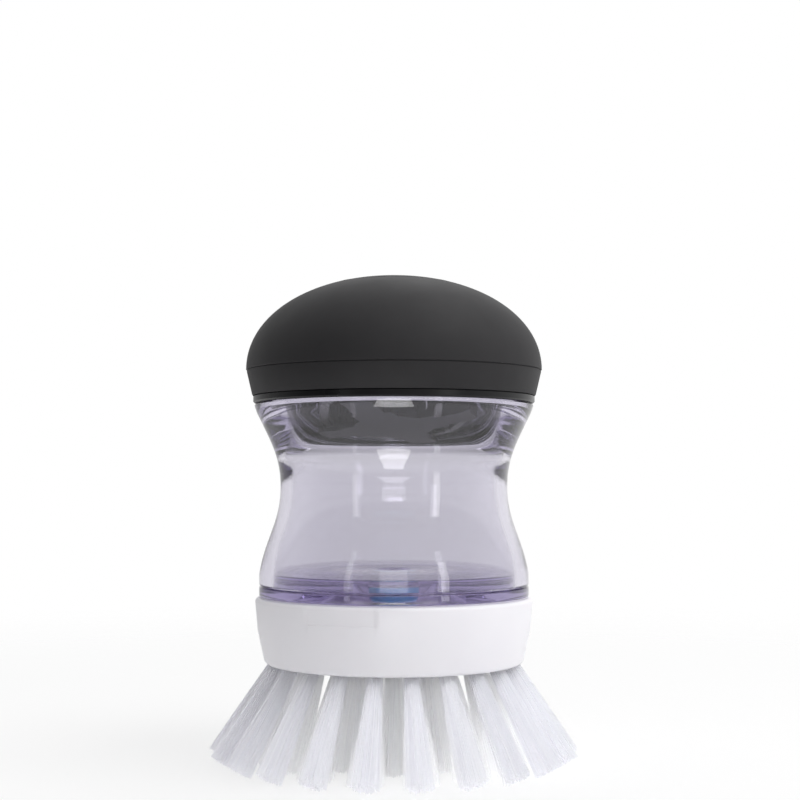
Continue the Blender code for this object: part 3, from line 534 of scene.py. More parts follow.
def turned(name, outline, start=0, sweep=360, steps=RING_STEPS):
    """A mesh swept from an outline in mm, from an angle in degrees, over a whole or part turn."""
    area = sum(
        a[0] * b[1] - b[0] * a[1] for a, b in zip(outline, outline[1:] + outline[:1])
    )
    points = list(outline) if area > 0 else list(reversed(outline))
    whole = sweep == 360
    shape = bmesh.new()
    poles = {
        number: shape.verts.new((0, 0, height * MM))
        for number, (radius, height) in enumerate(points) if radius == 0
    }
    rings = []
    for step in range(steps if whole else steps + 1):
        angle = math.radians(start + sweep * step / steps)
        rings.append([
            poles[number] if number in poles else shape.verts.new(
                (radius * MM * math.cos(angle), radius * MM * math.sin(angle), height * MM))
            for number, (radius, height) in enumerate(points)
        ])
    for step in range(steps):
        ring, other = rings[step], rings[(step + 1) % len(rings)]
        for number in range(len(points)):
            following = (number + 1) % len(points)
            corners = [ring[number], other[number], other[following], ring[following]]
            corners = list(dict.fromkeys(corners))
            if len(corners) > 2:
                shape.faces.new(corners)
    if not whole:
        shape.faces.new(rings[0])
        shape.faces.new(list(reversed(rings[-1])))
    mesh = bpy.data.meshes.new(name)
    shape.to_mesh(mesh)
    shape.free()
    return shaded(mesh)


def new_piece(name, mesh, finish, body, slot, *replaced):
    """A piece of the brush, riding on a body of the solid model and standing for its nodes."""
    piece = bpy.data.objects.new(name, mesh)
    scene.collection.objects.link(piece)
    piece.data.materials.clear()
    piece.data.materials.append(finish)
    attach(piece, body)
    if replaced:
        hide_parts(*replaced)
    # Clear walls and thin loose filaments let the light through to what stands behind them
    piece.visible_shadow = finish not in (clear_lavender, clear_violet, nylon)
    print(name, len(piece.data.polygons), "faces")
    return piece


# %% [markdown]
# ## Ribs that climb round a turned piece
#
# Screw threads, the three ribs inside the head and the lugs that slide under them are all one
# thing: a ridge of trapezoid section that follows a helix and fades out at its ends. So one
# geometry tree makes them all. It bends a straight curve into the helix, sweeps the section
# along it, copies the rib evenly round the axis, and welds the copies to the turned piece with a
# Boolean. A crest radius that is smaller than the foot radius gives a thread on an inside wall.
#
# The bent line comes back for the return spring, and the copies round the axis for the tuft
# holes, so both are functions that add their nodes to any tree.

# %% Start a geometry tree with named sizes
def new_tree(name, sizes):
    """A geometry tree with named inputs. Returns the tree, its inputs and its output node."""
    tree = bpy.data.node_groups.new(name, "GeometryNodeTree")
    face = tree.interface
    face.new_socket("Base", in_out="INPUT", socket_type="NodeSocketGeometry")
    face.new_socket("Finish", in_out="INPUT", socket_type="NodeSocketMaterial")
    for label, value in sizes.items():
        kind = "NodeSocketInt" if isinstance(value, int) else "NodeSocketFloat"
        face.new_socket(label, in_out="INPUT", socket_type=kind).default_value = value
    face.new_socket("Piece", in_out="OUTPUT", socket_type="NodeSocketGeometry")
    return tree, tree.nodes.new("NodeGroupInput").outputs, tree.nodes.new("NodeGroupOutput")


def end_tree(tree, piece, given, result):
    """Ends a tree in real geometry that carries its finish, and returns the tree."""
    real = add_node(tree, "GeometryNodeRealizeInstances", inputs=[piece])
    finished = add_node(tree, "GeometryNodeSetMaterial", inputs={
        "Geometry": real, "Material": given["Finish"],
    })
    tree.links.new(finished.outputs[0], result.inputs[0])
    print(tree.name, "has", len(tree.nodes), "nodes")
    return tree


# %% The plain mesh that a tree makes
def grown(name, tree, base, finish, values):
    """The plain mesh that a geometry tree makes from a base mesh with the given sizes."""
    carrier = bpy.data.objects.new(name, base)
    scene.collection.objects.link(carrier)
    modifier = carrier.modifiers.new(name, "NODES")
    modifier.node_group = tree
    sockets = [item for item in tree.interface.items_tree if item.in_out == "INPUT"]
    for socket in sockets:
        if socket.name == "Finish":
            modifier[socket.identifier] = finish
        elif socket.name in values:
            modifier[socket.identifier] = values[socket.name]
    unknown = set(values) - {socket.name for socket in sockets}
    assert not unknown, unknown
    graph = bpy.context.evaluated_depsgraph_get()
    mesh = bpy.data.meshes.new_from_object(carrier.evaluated_get(graph), depsgraph=graph)
    mesh.name = name
    carrier.modifiers.remove(modifier)
    bpy.data.objects.remove(carrier)
    return mesh


# %% What the trees share: a line bent round the axis, and copies round the axis
def bent_round(tree, steps, bearing, radius, level):
    """A line of points, each of which takes its bearing, radius and level from its own place."""
    straight = add_node(tree, "GeometryNodeMeshLine", inputs={
        "Count": steps, "Offset": (MM, 0, 0),
    })
    line = add_node(tree, "GeometryNodeMeshToCurve", inputs=[straight])
    round_x, round_y = [
        add_node(tree, MATH, "MULTIPLY", [add_node(tree, MATH, wave, [bearing]), radius])
        for wave in ("COSINE", "SINE")
    ]
    place = add_node(tree, "ShaderNodeCombineXYZ", inputs=[round_x, round_y, level])
    return add_node(tree, "GeometryNodeSetPosition", inputs={"Geometry": line, "Position": place})


def round_the_axis(tree, form, count):
    """Real copies of a form, turned evenly round the axis."""
    stations = add_node(tree, "GeometryNodePoints", inputs=[count])
    number = add_node(tree, "GeometryNodeInputIndex")
    apart = add_node(tree, MATH, "DIVIDE", [2 * math.pi, count])
    facing = add_node(tree, MATH, "MULTIPLY", [number, apart])
    turn = add_node(tree, "ShaderNodeCombineXYZ", inputs={"Z": facing})
    copies = add_node(tree, "GeometryNodeInstanceOnPoints", inputs={
        "Points": stations, "Instance": form, "Rotation": turn,
    })
    return add_node(tree, "GeometryNodeRealizeInstances", inputs=[copies])


# %% The tree for helical ribs
tree, given, result = new_tree("helical_ribs", {
    "Copies": 1, "Steps": 144, "Turn": 0.0, "Sweep": 6.2832, "Lead": 0.0027,
    "Middle Level": 0.0, "Foot Radius": 0.025, "Crest Radius": 0.026,
    "Foot Height": 0.001, "Crest Height": 0.0006, "Weld Depth": 0.0004, "Fade": 0.1,
    "Edge Radius": 0.00032,
})
along = add_node(tree, "GeometryNodeSplineParameter")
centred = add_node(tree, MATH, "SUBTRACT", [along, 0.5])
bearing = add_node(tree, MATH, "MULTIPLY_ADD", [centred, given["Sweep"], given["Turn"]])
swept_turns = add_node(tree, MATH, "DIVIDE", [given["Sweep"], 2 * math.pi])
climb = add_node(tree, MATH, "MULTIPLY", [swept_turns, given["Lead"]])
level = add_node(tree, MATH, "MULTIPLY_ADD", [centred, climb, given["Middle Level"]])
helix = bent_round(tree, given["Steps"], bearing, given["Foot Radius"], level)
upright = add_node(tree, "GeometryNodeSetCurveNormal", {"mode": "Z_UP"}, [helix])

# %% The section of a rib, from inside the wall to the crest
rise = add_node(tree, MATH, "SUBTRACT", [given["Crest Radius"], given["Foot Radius"]])
outwards = add_node(tree, MATH, "SIGN", [rise])
weld = add_node(tree, MATH, "MULTIPLY", [outwards, given["Weld Depth"]])
root = add_node(tree, MATH, "MULTIPLY", [weld, -1.0])
corners = []
for height, depth, side in (
    ("Foot Height", root, 0.5), ("Foot Height", root, -0.5),
    ("Crest Height", rise, -0.5), ("Crest Height", rise, 0.5),
):
    half = add_node(tree, MATH, "MULTIPLY", [given[height], side])
    corners.append(add_node(tree, "ShaderNodeCombineXYZ", inputs=[depth, half]))
sharp_section = add_node(tree, "GeometryNodeCurvePrimitiveQuadrilateral", {"mode": "POINTS"}, {
    f"Point {number + 1}": corner for number, corner in enumerate(corners)
})
section = add_node(tree, "GeometryNodeFilletCurve", {"mode": "POLY"}, {
    "Curve": sharp_section, "Count": 3, "Radius": given["Edge Radius"], "Limit Radius": True,
})

# %% Sweep the section, fade its ends, copy it round the axis and weld it on
from_end = add_node(tree, MATH, "ABSOLUTE", [centred])
to_end = add_node(tree, MATH, "SUBTRACT", [0.5, from_end])
strength = add_node(tree, "ShaderNodeMapRange", SMOOTH_RAMP, {
    "Value": to_end, "From Max": given["Fade"], "To Min": 0.2,
})
rib = add_node(tree, "GeometryNodeCurveToMesh", inputs={
    "Curve": upright, "Profile Curve": section, "Scale": strength, "Fill Caps": True,
})
ribs = round_the_axis(tree, rib, given["Copies"])
inside_out = add_node(tree, "GeometryNodeFlipFaces", inputs=[ribs])
is_inside = add_node(tree, "FunctionNodeCompare", "LESS_THAN", {"A": rise, "B": 0.0})
faced = add_node(tree, "GeometryNodeSwitch", {"input_type": "GEOMETRY"}, {
    "Switch": is_inside, "False": ribs, "True": inside_out,
})
welded = add_node(tree, "GeometryNodeMeshBoolean", {"operation": "UNION", "solver": "EXACT"}, {
    "Mesh 2": given["Base"],
})
tree.links.new(faced.outputs[0], welded.inputs["Mesh 2"])
rib_tree = end_tree(tree, welded, given, result)


# %% One call for a set of ribs
THREAD_LEAD, BAYONET_LEAD = 2.7, 11.3      # mm that the ribs climb in a turn
RIB_STEP = 2.5                             # degrees
FEWEST_RIB_STEPS = 12


def ribbed(
    name, base, finish, foot, crest, heights, lead, middle, sweep, fade, turn=0, copies=1,
):
    """A turned mesh with ribs welded on. Sizes in mm, angles in degrees, fade as a share."""
    steps = max(FEWEST_RIB_STEPS, round(sweep / RIB_STEP))
    mesh = grown(name, rib_tree, base, finish, {
        "Copies": copies, "Steps": steps, "Turn": math.radians(turn),
        "Sweep": math.radians(sweep), "Lead": lead * MM, "Middle Level": middle * MM,
        "Foot Radius": foot * MM, "Crest Radius": crest * MM,
        "Foot Height": heights[0] * MM, "Crest Height": heights[1] * MM, "Fade": fade,
    })
    return shaded(mesh)


# %% [markdown]
# ## The clear reservoir
#
# The reservoir is a jar with a waist for the fingers: a threaded neck, a flared lip above, and a
# wall that flares again to the flange. Inside, the wall goes straight up from the waist into the
# neck, so the plastic gets thick in the lip, and there its violet is deepest. A clear piece has
# to be one closed shell with its own inner wall, or light would bend wrongly in it.

# %% Curves of the waisted wall
HANDLE_SHARE = 0.4         # the length of a curve's handles as a share of its height


def swept_curve(top, top_lean, bottom, bottom_lean, count=18):
    """Points of a smooth curve from top to bottom. A lean is sideways run per height."""
    arm = (top[1] - bottom[1]) * HANDLE_SHARE
    handles = [
        Vector(top), Vector((top[0] - top_lean * arm, top[1] - arm)),
        Vector((bottom[0] + bottom_lean * arm, bottom[1] + arm)), Vector(bottom),
    ]
    points = []
    for step in range(count + 1):
        share = step / count
        rest = 1 - share
        weights = (rest ** 3, 3 * rest ** 2 * share, 3 * rest * share ** 2, share ** 3)
        point = sum((handle * weight for handle, weight in zip(handles, weights)), Vector((0, 0)))
        points.append((point.x, point.y))
    return points


# %% The outline of the reservoir's body
upper_wall = swept_curve((28.7, 72.4), 0.47, (23.25, 56.0), 0.0)
lower_wall = swept_curve((23.25, 56.0), 0.0, (27.5, 38.5), -0.15)
inner_lower = swept_curve((20.95, 56.0), 0.0, (24.9, 36.2), 0.0)
inner_upper = swept_curve((22.8, 64.9), 0.0, (20.95, 56.0), 0.0, 10)
body_outline = (
    [(23.9, 83.7), (24.4, 83.62), (24.78, 83.38), (25.02, 83.0), (25.1, 82.5)]
    + eased([(25.1, 82.0), (25.1, 72.9), (28.6, 72.9), upper_wall[0]], ease=0.4)[4:-4]
    + upper_wall[1:] + lower_wall[1:]
    + [(27.5, 36.4), (27.3, 36.2), (25.1, 36.2)]
    + list(reversed(inner_lower)) + list(reversed(inner_upper))[1:]
    + [(22.8, 83.1), (22.95, 83.45), (23.3, 83.66)]
)
body_base = turned("reservoir_body_base", body_outline, steps=WIDE_STEPS)
body_mesh = ribbed(
    "reservoir_clear_body", body_base, clear_lavender, foot=25.1, crest=26.4,
    heights=(1.1, 0.66), lead=THREAD_LEAD, middle=77.525, sweep=980, turn=470, fade=0.045,
)
new_piece("reservoir_clear_body", body_mesh, clear_lavender, "reservoir", "clear_plastic",
          "reservoir_body")

# %% [markdown]
# ## The plate that closes the reservoir, and its nozzle
#
# A second clear moulding is welded in as the floor. It carries the flange band, the skirt that
# centres the reservoir in the head, and the boss with three lugs, which slide under the ribs of
# the head when the reservoir is turned. The small nozzle holds the valve from below.

# %% The plate with its skirt, boss and lugs
plate_outline = eased([
    (24.5, 38.5), (24.5, 35.9), (27.5, 35.9), (27.5, 34.0), (23.5, 34.0), (23.5, 29.0),
    (22.9, 28.4), (21.5, 28.4), (21.5, 34.0), (13.2, 34.0), (13.2, 32.8), (11.2, 32.8),
    (11.2, 28.86), (9.4, 28.86), (9.4, 34.0), (7.3, 34.0), (7.3, 28.86), (5.5, 28.86),
    (5.5, 35.9), (3.4, 35.9), (3.4, 38.5),
], ease=0.22)
plate_base = turned("plate_base", plate_outline, steps=WIDE_STEPS)
plate_mesh = ribbed(
    "reservoir_clear_plate", plate_base, clear_violet, foot=11.2, crest=12.7,
    heights=(1.3, 1.3), lead=BAYONET_LEAD, middle=30.079, sweep=30, copies=3, fade=0.04,
)
new_piece("reservoir_clear_plate", plate_mesh, clear_violet, "reservoir", "clear_plastic",
          "base_plate")

# %% The nozzle
nozzle_mesh = turned("clear_nozzle", eased([
    (5.1, 30.8), (5.1, 28.56), (5.9, 28.56), (5.9, 26.36), (5.5, 25.96), (1.8, 25.96),
    (1.8, 28.56), (2.4, 30.8),
], ease=0.15), steps=SMALL_STEPS)
new_piece("clear_nozzle", nozzle_mesh, clear_lavender, "reservoir", "clear_plastic", "nozzle_cap")

# %% [markdown]
# ## The blue valve
#
# A soft cup of silicone with a slit floor. Pressure from the pump opens the slit, and it shuts
# by itself. It shows through the clear boss as two bands, a light one over a deep one.

# %% The valve
valve_mesh = turned("blue_silicone_valve", eased([
    (0, 32.2), (2.4, 35.6), (5.1, 35.6), (5.1, 34.5), (4.2, 34.5), (4.2, 32.2), (5.1, 32.2),
    (5.1, 31.1), (0, 31.1),
], ease=0.18), steps=SMALL_STEPS)
new_piece("blue_silicone_valve", valve_mesh, blue_silicone, "valve", "blue_silicone",
          "dispensing_valve")

# %% [markdown]
# ## The white head
#
# The head is turned too, with a well for the skirt and a hub with three ribs on its inside. One
# more tree of nodes sinks a round hole for each tuft, tilted as the tuft is. Before that, three
# very shallow recesses are pressed into the collar, where the fingers turn the head.

# %% The tree that cuts a ring of tuft holes
tree, given, result = new_tree("tuft_holes", {
    "Tufts": 22, "Ring Radius": 0.0238, "Level": 0.0205, "Splay": 0.5, "Hole Radius": 0.0015,
    "Hole Depth": 0.002,
})
drill = add_node(tree, "GeometryNodeMeshCylinder", inputs={
    "Vertices": 20, "Radius": given["Hole Radius"], "Depth": given["Hole Depth"],
})
lean_back = add_node(tree, MATH, "MULTIPLY", [given["Splay"], -1.0])
lean = add_node(tree, "ShaderNodeCombineXYZ", inputs={"Y": lean_back})
mouth = add_node(tree, "ShaderNodeCombineXYZ", inputs=[given["Ring Radius"], 0.0, given["Level"]])
tilted = add_node(tree, "GeometryNodeTransform", inputs={
    "Geometry": drill, "Translation": mouth, "Rotation": lean,
})
cut = add_node(tree, "GeometryNodeMeshBoolean", {"operation": "DIFFERENCE", "solver": "EXACT"}, {
    "Mesh 1": given["Base"], "Mesh 2": round_the_axis(tree, tilted, given["Tufts"]),
})
hole_tree = end_tree(tree, cut, given, result)

# %% Three rings: tufts, ring radius in mm, splay in degrees, flat cut or square, fan in mm
TUFT_ROOT_LEVEL = 20.5
TUFT_RINGS = {
    "outer": (22, 23.8, 31.5, 0, 2.65),
    "middle": (14, 16.8, 20.0, 1, 3.5),
    "inner": (8, 9.8, 9.0, 1, 3.0),
}

# %% The head with its finger recesses
head_outline = eased([
    (27.8, 33.7), (28.3, 33.2), (28.03, 30.1), (28.01, 29.9), (27.75, 27.1), (26.4, 21.0),
    (25.9, 20.5), (2.0, 20.5),
    (2.0, 25.66), (6.3, 25.66), (6.3, 28.1), (13.1, 28.1), (13.1, 32.5), (15.5, 32.5),
    (15.5, 28.1), (23.9, 28.1), (23.9, 33.7),
], ease=0.3)
head_base = turned("head_base", head_outline, steps=360)
RECESS_DEPTH, RECESS_FOOT, RECESS_SWEEP, RECESS_BEARING = 0.18, 30.0, 29, -111.5
COLLAR_FROM = 27           # the collar's outer wall is all that lies outside this radius
for vertex in head_base.vertices:
    radius = vertex.co.xy.length
    bearing = math.degrees(math.atan2(vertex.co.y, vertex.co.x))
    off_centre = abs((bearing - RECESS_BEARING + 60) % 120 - 60)
    on_collar = vertex.co.z > RECESS_FOOT * MM and radius > COLLAR_FROM * MM
    if on_collar and off_centre < RECESS_SWEEP / 2:
        vertex.co.xy *= 1 - RECESS_DEPTH * MM / radius

# %% Its ribs and its holes
head_mesh = ribbed(
    "white_head", head_base, white_plastic, foot=13.1, crest=11.6, heights=(0.9, 0.9),
    lead=BAYONET_LEAD, middle=31.479, sweep=30, copies=3, fade=0.04,
)
for tufts, ring_radius, splay, _, _ in TUFT_RINGS.values():
    head_mesh = grown("white_head", hole_tree, head_mesh, white_plastic, {
        "Tufts": tufts, "Ring Radius": ring_radius * MM, "Level": TUFT_ROOT_LEVEL * MM,
        "Splay": math.radians(splay), "Hole Radius": 1.55 * MM, "Hole Depth": 3.0 * MM,
    })
new_piece("white_head", shaded(head_mesh), white_plastic, "brush_head", "white_plastic",
          "head_block")

# %% [markdown]
# ## The tufts
#
# A tuft is a bundle of nylon filaments, folded over an anchor in its hole and trimmed after it
# was set. It leaves its hole tight and fans out. The outer tufts are splayed so that they reach
# past the head, and they are cut square to their own direction. The other two rings are trimmed
# flat, and the brush stands on them.
#
# Hair curves would be lost in the export, so each filament is a thin five-sided rod. The tree
# places every rod by its number: the number gives the tuft, and its place in the bundle on a
# sunflower spiral, which fills a disc evenly. Then it bends the rod from its root in the hole to
# its tip in the fan. A fixed seed gives every filament its own slight bow, length and tone. The
# two flat rings are painted a shade whiter: painted light against the shade between the others.

# %% The tree that grows a ring of tufts: where each filament starts and ends
GOLDEN_ANGLE = math.pi * (3 - math.sqrt(5))
STRAY = 0.09               # how far a tip strays, as a share of the fan
tree, given, result = new_tree("bristle_tufts", {
    "Tufts": 22, "Filaments": 90, "Ring Radius": 0.0238, "Root Level": 0.0205, "Splay": 0.5,
    "Root Spread": 0.0013, "Tip Spread": 0.00265, "Cut Length": 0.02207, "Flat Cut": 0.0,
    "Filament Radius": 0.00014, "Raggedness": 0.0005, "Bow": 0.0007, "Floor Gap": 0.00006,
    "Seed": 7,
})
total = add_node(tree, MATH, "MULTIPLY", [given["Tufts"], given["Filaments"]])
stations = add_node(tree, "GeometryNodePoints", inputs=[total])
number = add_node(tree, "GeometryNodeInputIndex")
tuft_share = add_node(tree, MATH, "DIVIDE", [number, given["Filaments"]])
tuft_number = add_node(tree, MATH, "FLOOR", [tuft_share])
in_tuft = add_node(tree, MATH, "FRACT", [tuft_share])
from_middle = add_node(tree, MATH, "SQRT", [in_tuft])
spiral = add_node(tree, MATH, "MULTIPLY", [number, GOLDEN_ANGLE])
spoke = add_node(tree, "ShaderNodeCombineXYZ", inputs=[
    add_node(tree, MATH, wave, [spiral]) for wave in ("COSINE", "SINE")
])
disc = add_node(tree, VECTOR_MATH, "SCALE", {0: spoke, "Scale": from_middle})
root_place = add_node(tree, VECTOR_MATH, "SCALE", {0: disc, "Scale": given["Root Spread"]})
stray = add_node(tree, "FunctionNodeRandomValue", {"data_type": "FLOAT_VECTOR"}, {
    "Min": (-1, -1, -1), "Max": (1, 1, 1), "Seed": given["Seed"],
})
strayed = add_node(tree, VECTOR_MATH, "MULTIPLY_ADD", [stray, (STRAY, STRAY, 0), disc])
tip_place = add_node(tree, VECTOR_MATH, "SCALE", {0: strayed, "Scale": given["Tip Spread"]})

# %% How long each filament is, from its cut and its own share of raggedness
tip_parts = add_node(tree, "ShaderNodeSeparateXYZ", inputs=[tip_place])
sine = add_node(tree, MATH, "SINE", [given["Splay"]])
cosine = add_node(tree, MATH, "COSINE", [given["Splay"]])
tip_height = add_node(tree, MATH, "MULTIPLY_ADD", [
    tip_parts.outputs["X"], sine, given["Root Level"],
])
to_floor = add_node(tree, MATH, "DIVIDE", [tip_height, cosine])
length = add_node(tree, "ShaderNodeMix", {"data_type": "FLOAT"}, {
    "Factor": given["Flat Cut"], 2: given["Cut Length"], 3: to_floor,
})
chance = add_node(tree, "FunctionNodeRandomValue", {"data_type": "FLOAT"}, {"Seed": given["Seed"]})
# The flat rings get the whiter half of the colours: painted light against the shade between the
# outer tufts
ring_painted_lift = add_node(tree, MATH, "MULTIPLY", [given["Flat Cut"], 0.5])
tone_with_painted_lift = add_node(tree, MATH, "MULTIPLY_ADD", [chance.outputs[1], 0.5, ring_painted_lift])
rare = add_node(tree, MATH, "POWER", [chance.outputs[1], 3.0])
shorter = add_node(tree, MATH, "MULTIPLY_ADD", [rare, given["Raggedness"], given["Floor Gap"]])
own_length = add_node(tree, MATH, "SUBTRACT", [length, shorter])
drop = add_node(tree, MATH, "MULTIPLY", [own_length, -1.0])
tip_end = add_node(tree, "ShaderNodeCombineXYZ", inputs={
    "X": tip_parts.outputs["X"], "Y": tip_parts.outputs["Y"], "Z": drop,
})

# %% Put a rod on every number and remember its root, tip, bow, and tone with its painted lift
rod = add_node(tree, "GeometryNodeMeshCylinder", {"fill_type": "NGON"}, {
    "Vertices": 5, "Side Segments": 3, "Radius": given["Filament Radius"], "Depth": 1.0,
})
rod_place = add_node(tree, "GeometryNodeInputPosition")
rod_kept = add_node(tree, "GeometryNodeCaptureAttribute", {"domain": "POINT"}, [rod])
rod_kept.capture_items.new("VECTOR", "On Rod")
tree.links.new(rod_place.outputs[0], rod_kept.inputs[1])
kept = add_node(tree, "GeometryNodeCaptureAttribute", {"domain": "POINT"}, [stations])
bow = add_node(tree, VECTOR_MATH, "SCALE", {0: stray, "Scale": given["Bow"]})
for label, kind, source in (
    ("Root", "VECTOR", root_place.outputs[0]), ("Tip", "VECTOR", tip_end.outputs[0]),
    ("Bow", "VECTOR", bow.outputs[0]), ("Tuft", "FLOAT", tuft_number.outputs[0]),
    ("Tone", "FLOAT", tone_with_painted_lift.outputs[0]),
):
    kept.capture_items.new(kind, label)
    tree.links.new(source, kept.inputs[label])
rods = add_node(tree, "GeometryNodeInstanceOnPoints", inputs={"Points": kept, "Instance": rod_kept})
real_rods = add_node(tree, "GeometryNodeRealizeInstances", inputs=[rods])

# %% Bend each rod into place, tilt it with its tuft and turn it to its place in the ring
on_rod = add_node(tree, "ShaderNodeSeparateXYZ", inputs=[rod_kept.outputs[1]])
share = add_node(tree, MATH, "SUBTRACT", [0.5, on_rod.outputs["Z"]])
straight = add_node(tree, "ShaderNodeMix", {"data_type": "VECTOR"}, {
    "Factor": share, 4: kept.outputs["Root"], 5: kept.outputs["Tip"],
})
left_over = add_node(tree, MATH, "SUBTRACT", [1.0, share])
arch = add_node(tree, MATH, "MULTIPLY", [share, left_over])
bent = add_node(tree, VECTOR_MATH, "SCALE", {0: kept.outputs["Bow"], "Scale": arch})
thickness = add_node(tree, "ShaderNodeCombineXYZ", inputs={
    "X": on_rod.outputs["X"], "Y": on_rod.outputs["Y"],
})
centre_line = add_node(tree, VECTOR_MATH, "ADD", [straight.outputs[1], bent])
in_bundle = add_node(tree, VECTOR_MATH, "ADD", [centre_line, thickness])
lean_back = add_node(tree, MATH, "MULTIPLY", [given["Splay"], -1.0])
tilted = add_node(tree, "ShaderNodeVectorRotate", {"rotation_type": "Y_AXIS"}, {
    "Vector": in_bundle, "Angle": lean_back,
})
mouth = add_node(tree, "ShaderNodeCombineXYZ", inputs={
    "X": given["Ring Radius"], "Z": given["Root Level"],
})
at_mouth = add_node(tree, VECTOR_MATH, "ADD", [tilted, mouth])
apart = add_node(tree, MATH, "DIVIDE", [2 * math.pi, given["Tufts"]])
facing = add_node(tree, MATH, "MULTIPLY", [kept.outputs["Tuft"], apart])
in_ring = add_node(tree, "ShaderNodeVectorRotate", {"rotation_type": "Z_AXIS"}, {
    "Vector": at_mouth, "Angle": facing,
})
placed = add_node(tree, "GeometryNodeSetPosition", inputs={
    "Geometry": real_rods, "Position": in_ring,
})
toned = add_node(tree, "GeometryNodeStoreNamedAttribute", {
    "data_type": "FLOAT", "domain": "POINT",
}, {"Geometry": placed, "Name": "filament_tone_with_painted_lift", "Value": kept.outputs["Tone"]})
bristle_tree = end_tree(tree, toned, given, result)

# %% Grow the three rings
FILAMENTS = 110
for seed, (ring_name, (tufts, ring_radius, splay, flat, fan)) in enumerate(TUFT_RINGS.items()):
    empty = bpy.data.meshes.new(ring_name)
    mesh = grown(f"{ring_name}_tufts", bristle_tree, empty, nylon, {
        "Tufts": tufts, "Filaments": FILAMENTS, "Ring Radius": ring_radius * MM,
        "Root Level": TUFT_ROOT_LEVEL * MM, "Splay": math.radians(splay), "Flat Cut": float(flat),
        "Tip Spread": fan * MM, "Seed": seed,
    })
    new_piece(
        f"{ring_name}_tufts", shaded(mesh), nylon, "brush_head", "bristle_nylon",
        *[f"{ring_name}_tuft_{index + 1:02d}" for index in range(tufts)],
    )
    lowest = min(vertex.co.z for vertex in mesh.vertices)
    widest = max(vertex.co.xy.length for vertex in mesh.vertices)
    print(f"{ring_name} tufts: lowest {lowest / MM:.2f} mm, widest {widest / MM:.2f} mm")

# %% [markdown]
# ## The cap's dome
#
# In section the dome is fuller than an ellipse at its shoulder and flatter at its crown. A
# superellipse has one number for that fullness, so the cover, the shell under it and the button
# on top all follow one rule with their own radius and rise.

# %% Points down a dome
SEAM_LEVEL = 80.0
FULLNESS = 2.08
OUTSIDE_DOME = (30.4, 19.4)
INSIDE_DOME = (28.3, 17.3)
BACKING_DOME = (28.0, 17.0)


def dome_curve(dome, start_radius, count=30):
    """Points down a dome in mm, from a radius near its crown to its seam."""
    radius, rise = dome
    first = math.acos(min(1, (start_radius / radius) ** (FULLNESS / 2)))
    points = []
    for step in range(count + 1):
        angle = first - first * step / count
        points.append((
            radius * abs(math.cos(angle)) ** (2 / FULLNESS),
            SEAM_LEVEL + rise * math.sin(angle) ** (2 / FULLNESS),
        ))
    return points


print("crown of the cap at", round(dome_curve(OUTSIDE_DOME, 0)[0][1], 2), "mm")

# %% [markdown]
# ## The rubber cover
#
# The cover is moulded over the shell. Its dome meets the band below at a faint seam line, where
# the mould parts, and the band tapers in to the rim. The opening for the button has a small
# rounded edge.

# %% The cover
OPENING_RADIUS = 11.8
outer_curve = dome_curve(OUTSIDE_DOME, OPENING_RADIUS)
inner_curve = dome_curve(INSIDE_DOME, OPENING_RADIUS)
outer_level, inner_level = outer_curve[0][1], inner_curve[0][1]
cover_outline = (
    [(12.0, outer_level - 0.02)] + outer_curve[1:-1]
    + [(30.4, 80.06), (30.33, 79.99), (30.06, 79.93), (30.06, 79.83), (30.22, 79.77),
       (30.24, 79.6)]
    + [(29.15, 74.95), (29.0, 74.75), (28.8, 74.7), (28.3, 74.7)]
    + list(reversed(inner_curve))[:-1]
    + [(OPENING_RADIUS, inner_level), (OPENING_RADIUS, outer_level - 0.25),
       (11.86, outer_level - 0.08)]
)
cover_mesh = turned("rubber_cover", cover_outline, steps=WIDE_STEPS)
new_piece("rubber_cover", cover_mesh, soft_touch, "cap", "soft_grip", "grip_cover")

# %% [markdown]
# ## The hard shell
#
# The shell carries everything: the thread that takes the neck, the ceiling that presses on the
# gasket, and the long tube in which the piston slides. Its glossy rim shows below the rubber as a
# thin ring.

# %% The shell with its thread
SHOULDER_LEVEL = 87.6
backing = [point for point in dome_curve(BACKING_DOME, 20.0) if point[1] < SHOULDER_LEVEL]
shell_outline = (
    [(14.0, 75.9), (14.2, 75.7), (15.8, 75.7), (16.0, 75.9), (16.0, 86.0), (25.1, 86.0),
     (25.1, 84.0), (26.9, 84.0), (26.9, 73.4), (27.1, 73.2), (28.6, 73.2), (28.9, 73.5),
     (28.9, 74.5), (28.75, 74.65), (28.0, 74.65)]
    + list(reversed(backing))
    + [(backing[0][0] - 0.2, SHOULDER_LEVEL), (16.2, SHOULDER_LEVEL), (16.0, 87.8),
       (16.0, 94.08), (15.86, 94.22), (14.14, 94.22), (14.0, 94.08)]
)
shell_base = turned("shell_base", shell_outline, steps=WIDE_STEPS)
shell_mesh = ribbed(
    "hard_shell", shell_base, black_abs, foot=26.9, crest=25.6, heights=(1.0, 0.6),
    lead=THREAD_LEAD, middle=78.05, sweep=720, turn=360, fade=0.05,
)
new_piece("hard_shell", shell_mesh, black_abs, "cap", "black_plastic", "cap_shell")

# %% [markdown]
# ## Button, piston and their ring
#
# The button continues the dome's curve and sits in the opening with a fine gap. A flange below
# keeps it from coming out. Its socket takes the stem of the piston, and a rubber ring in the
# piston's groove runs in the tube.

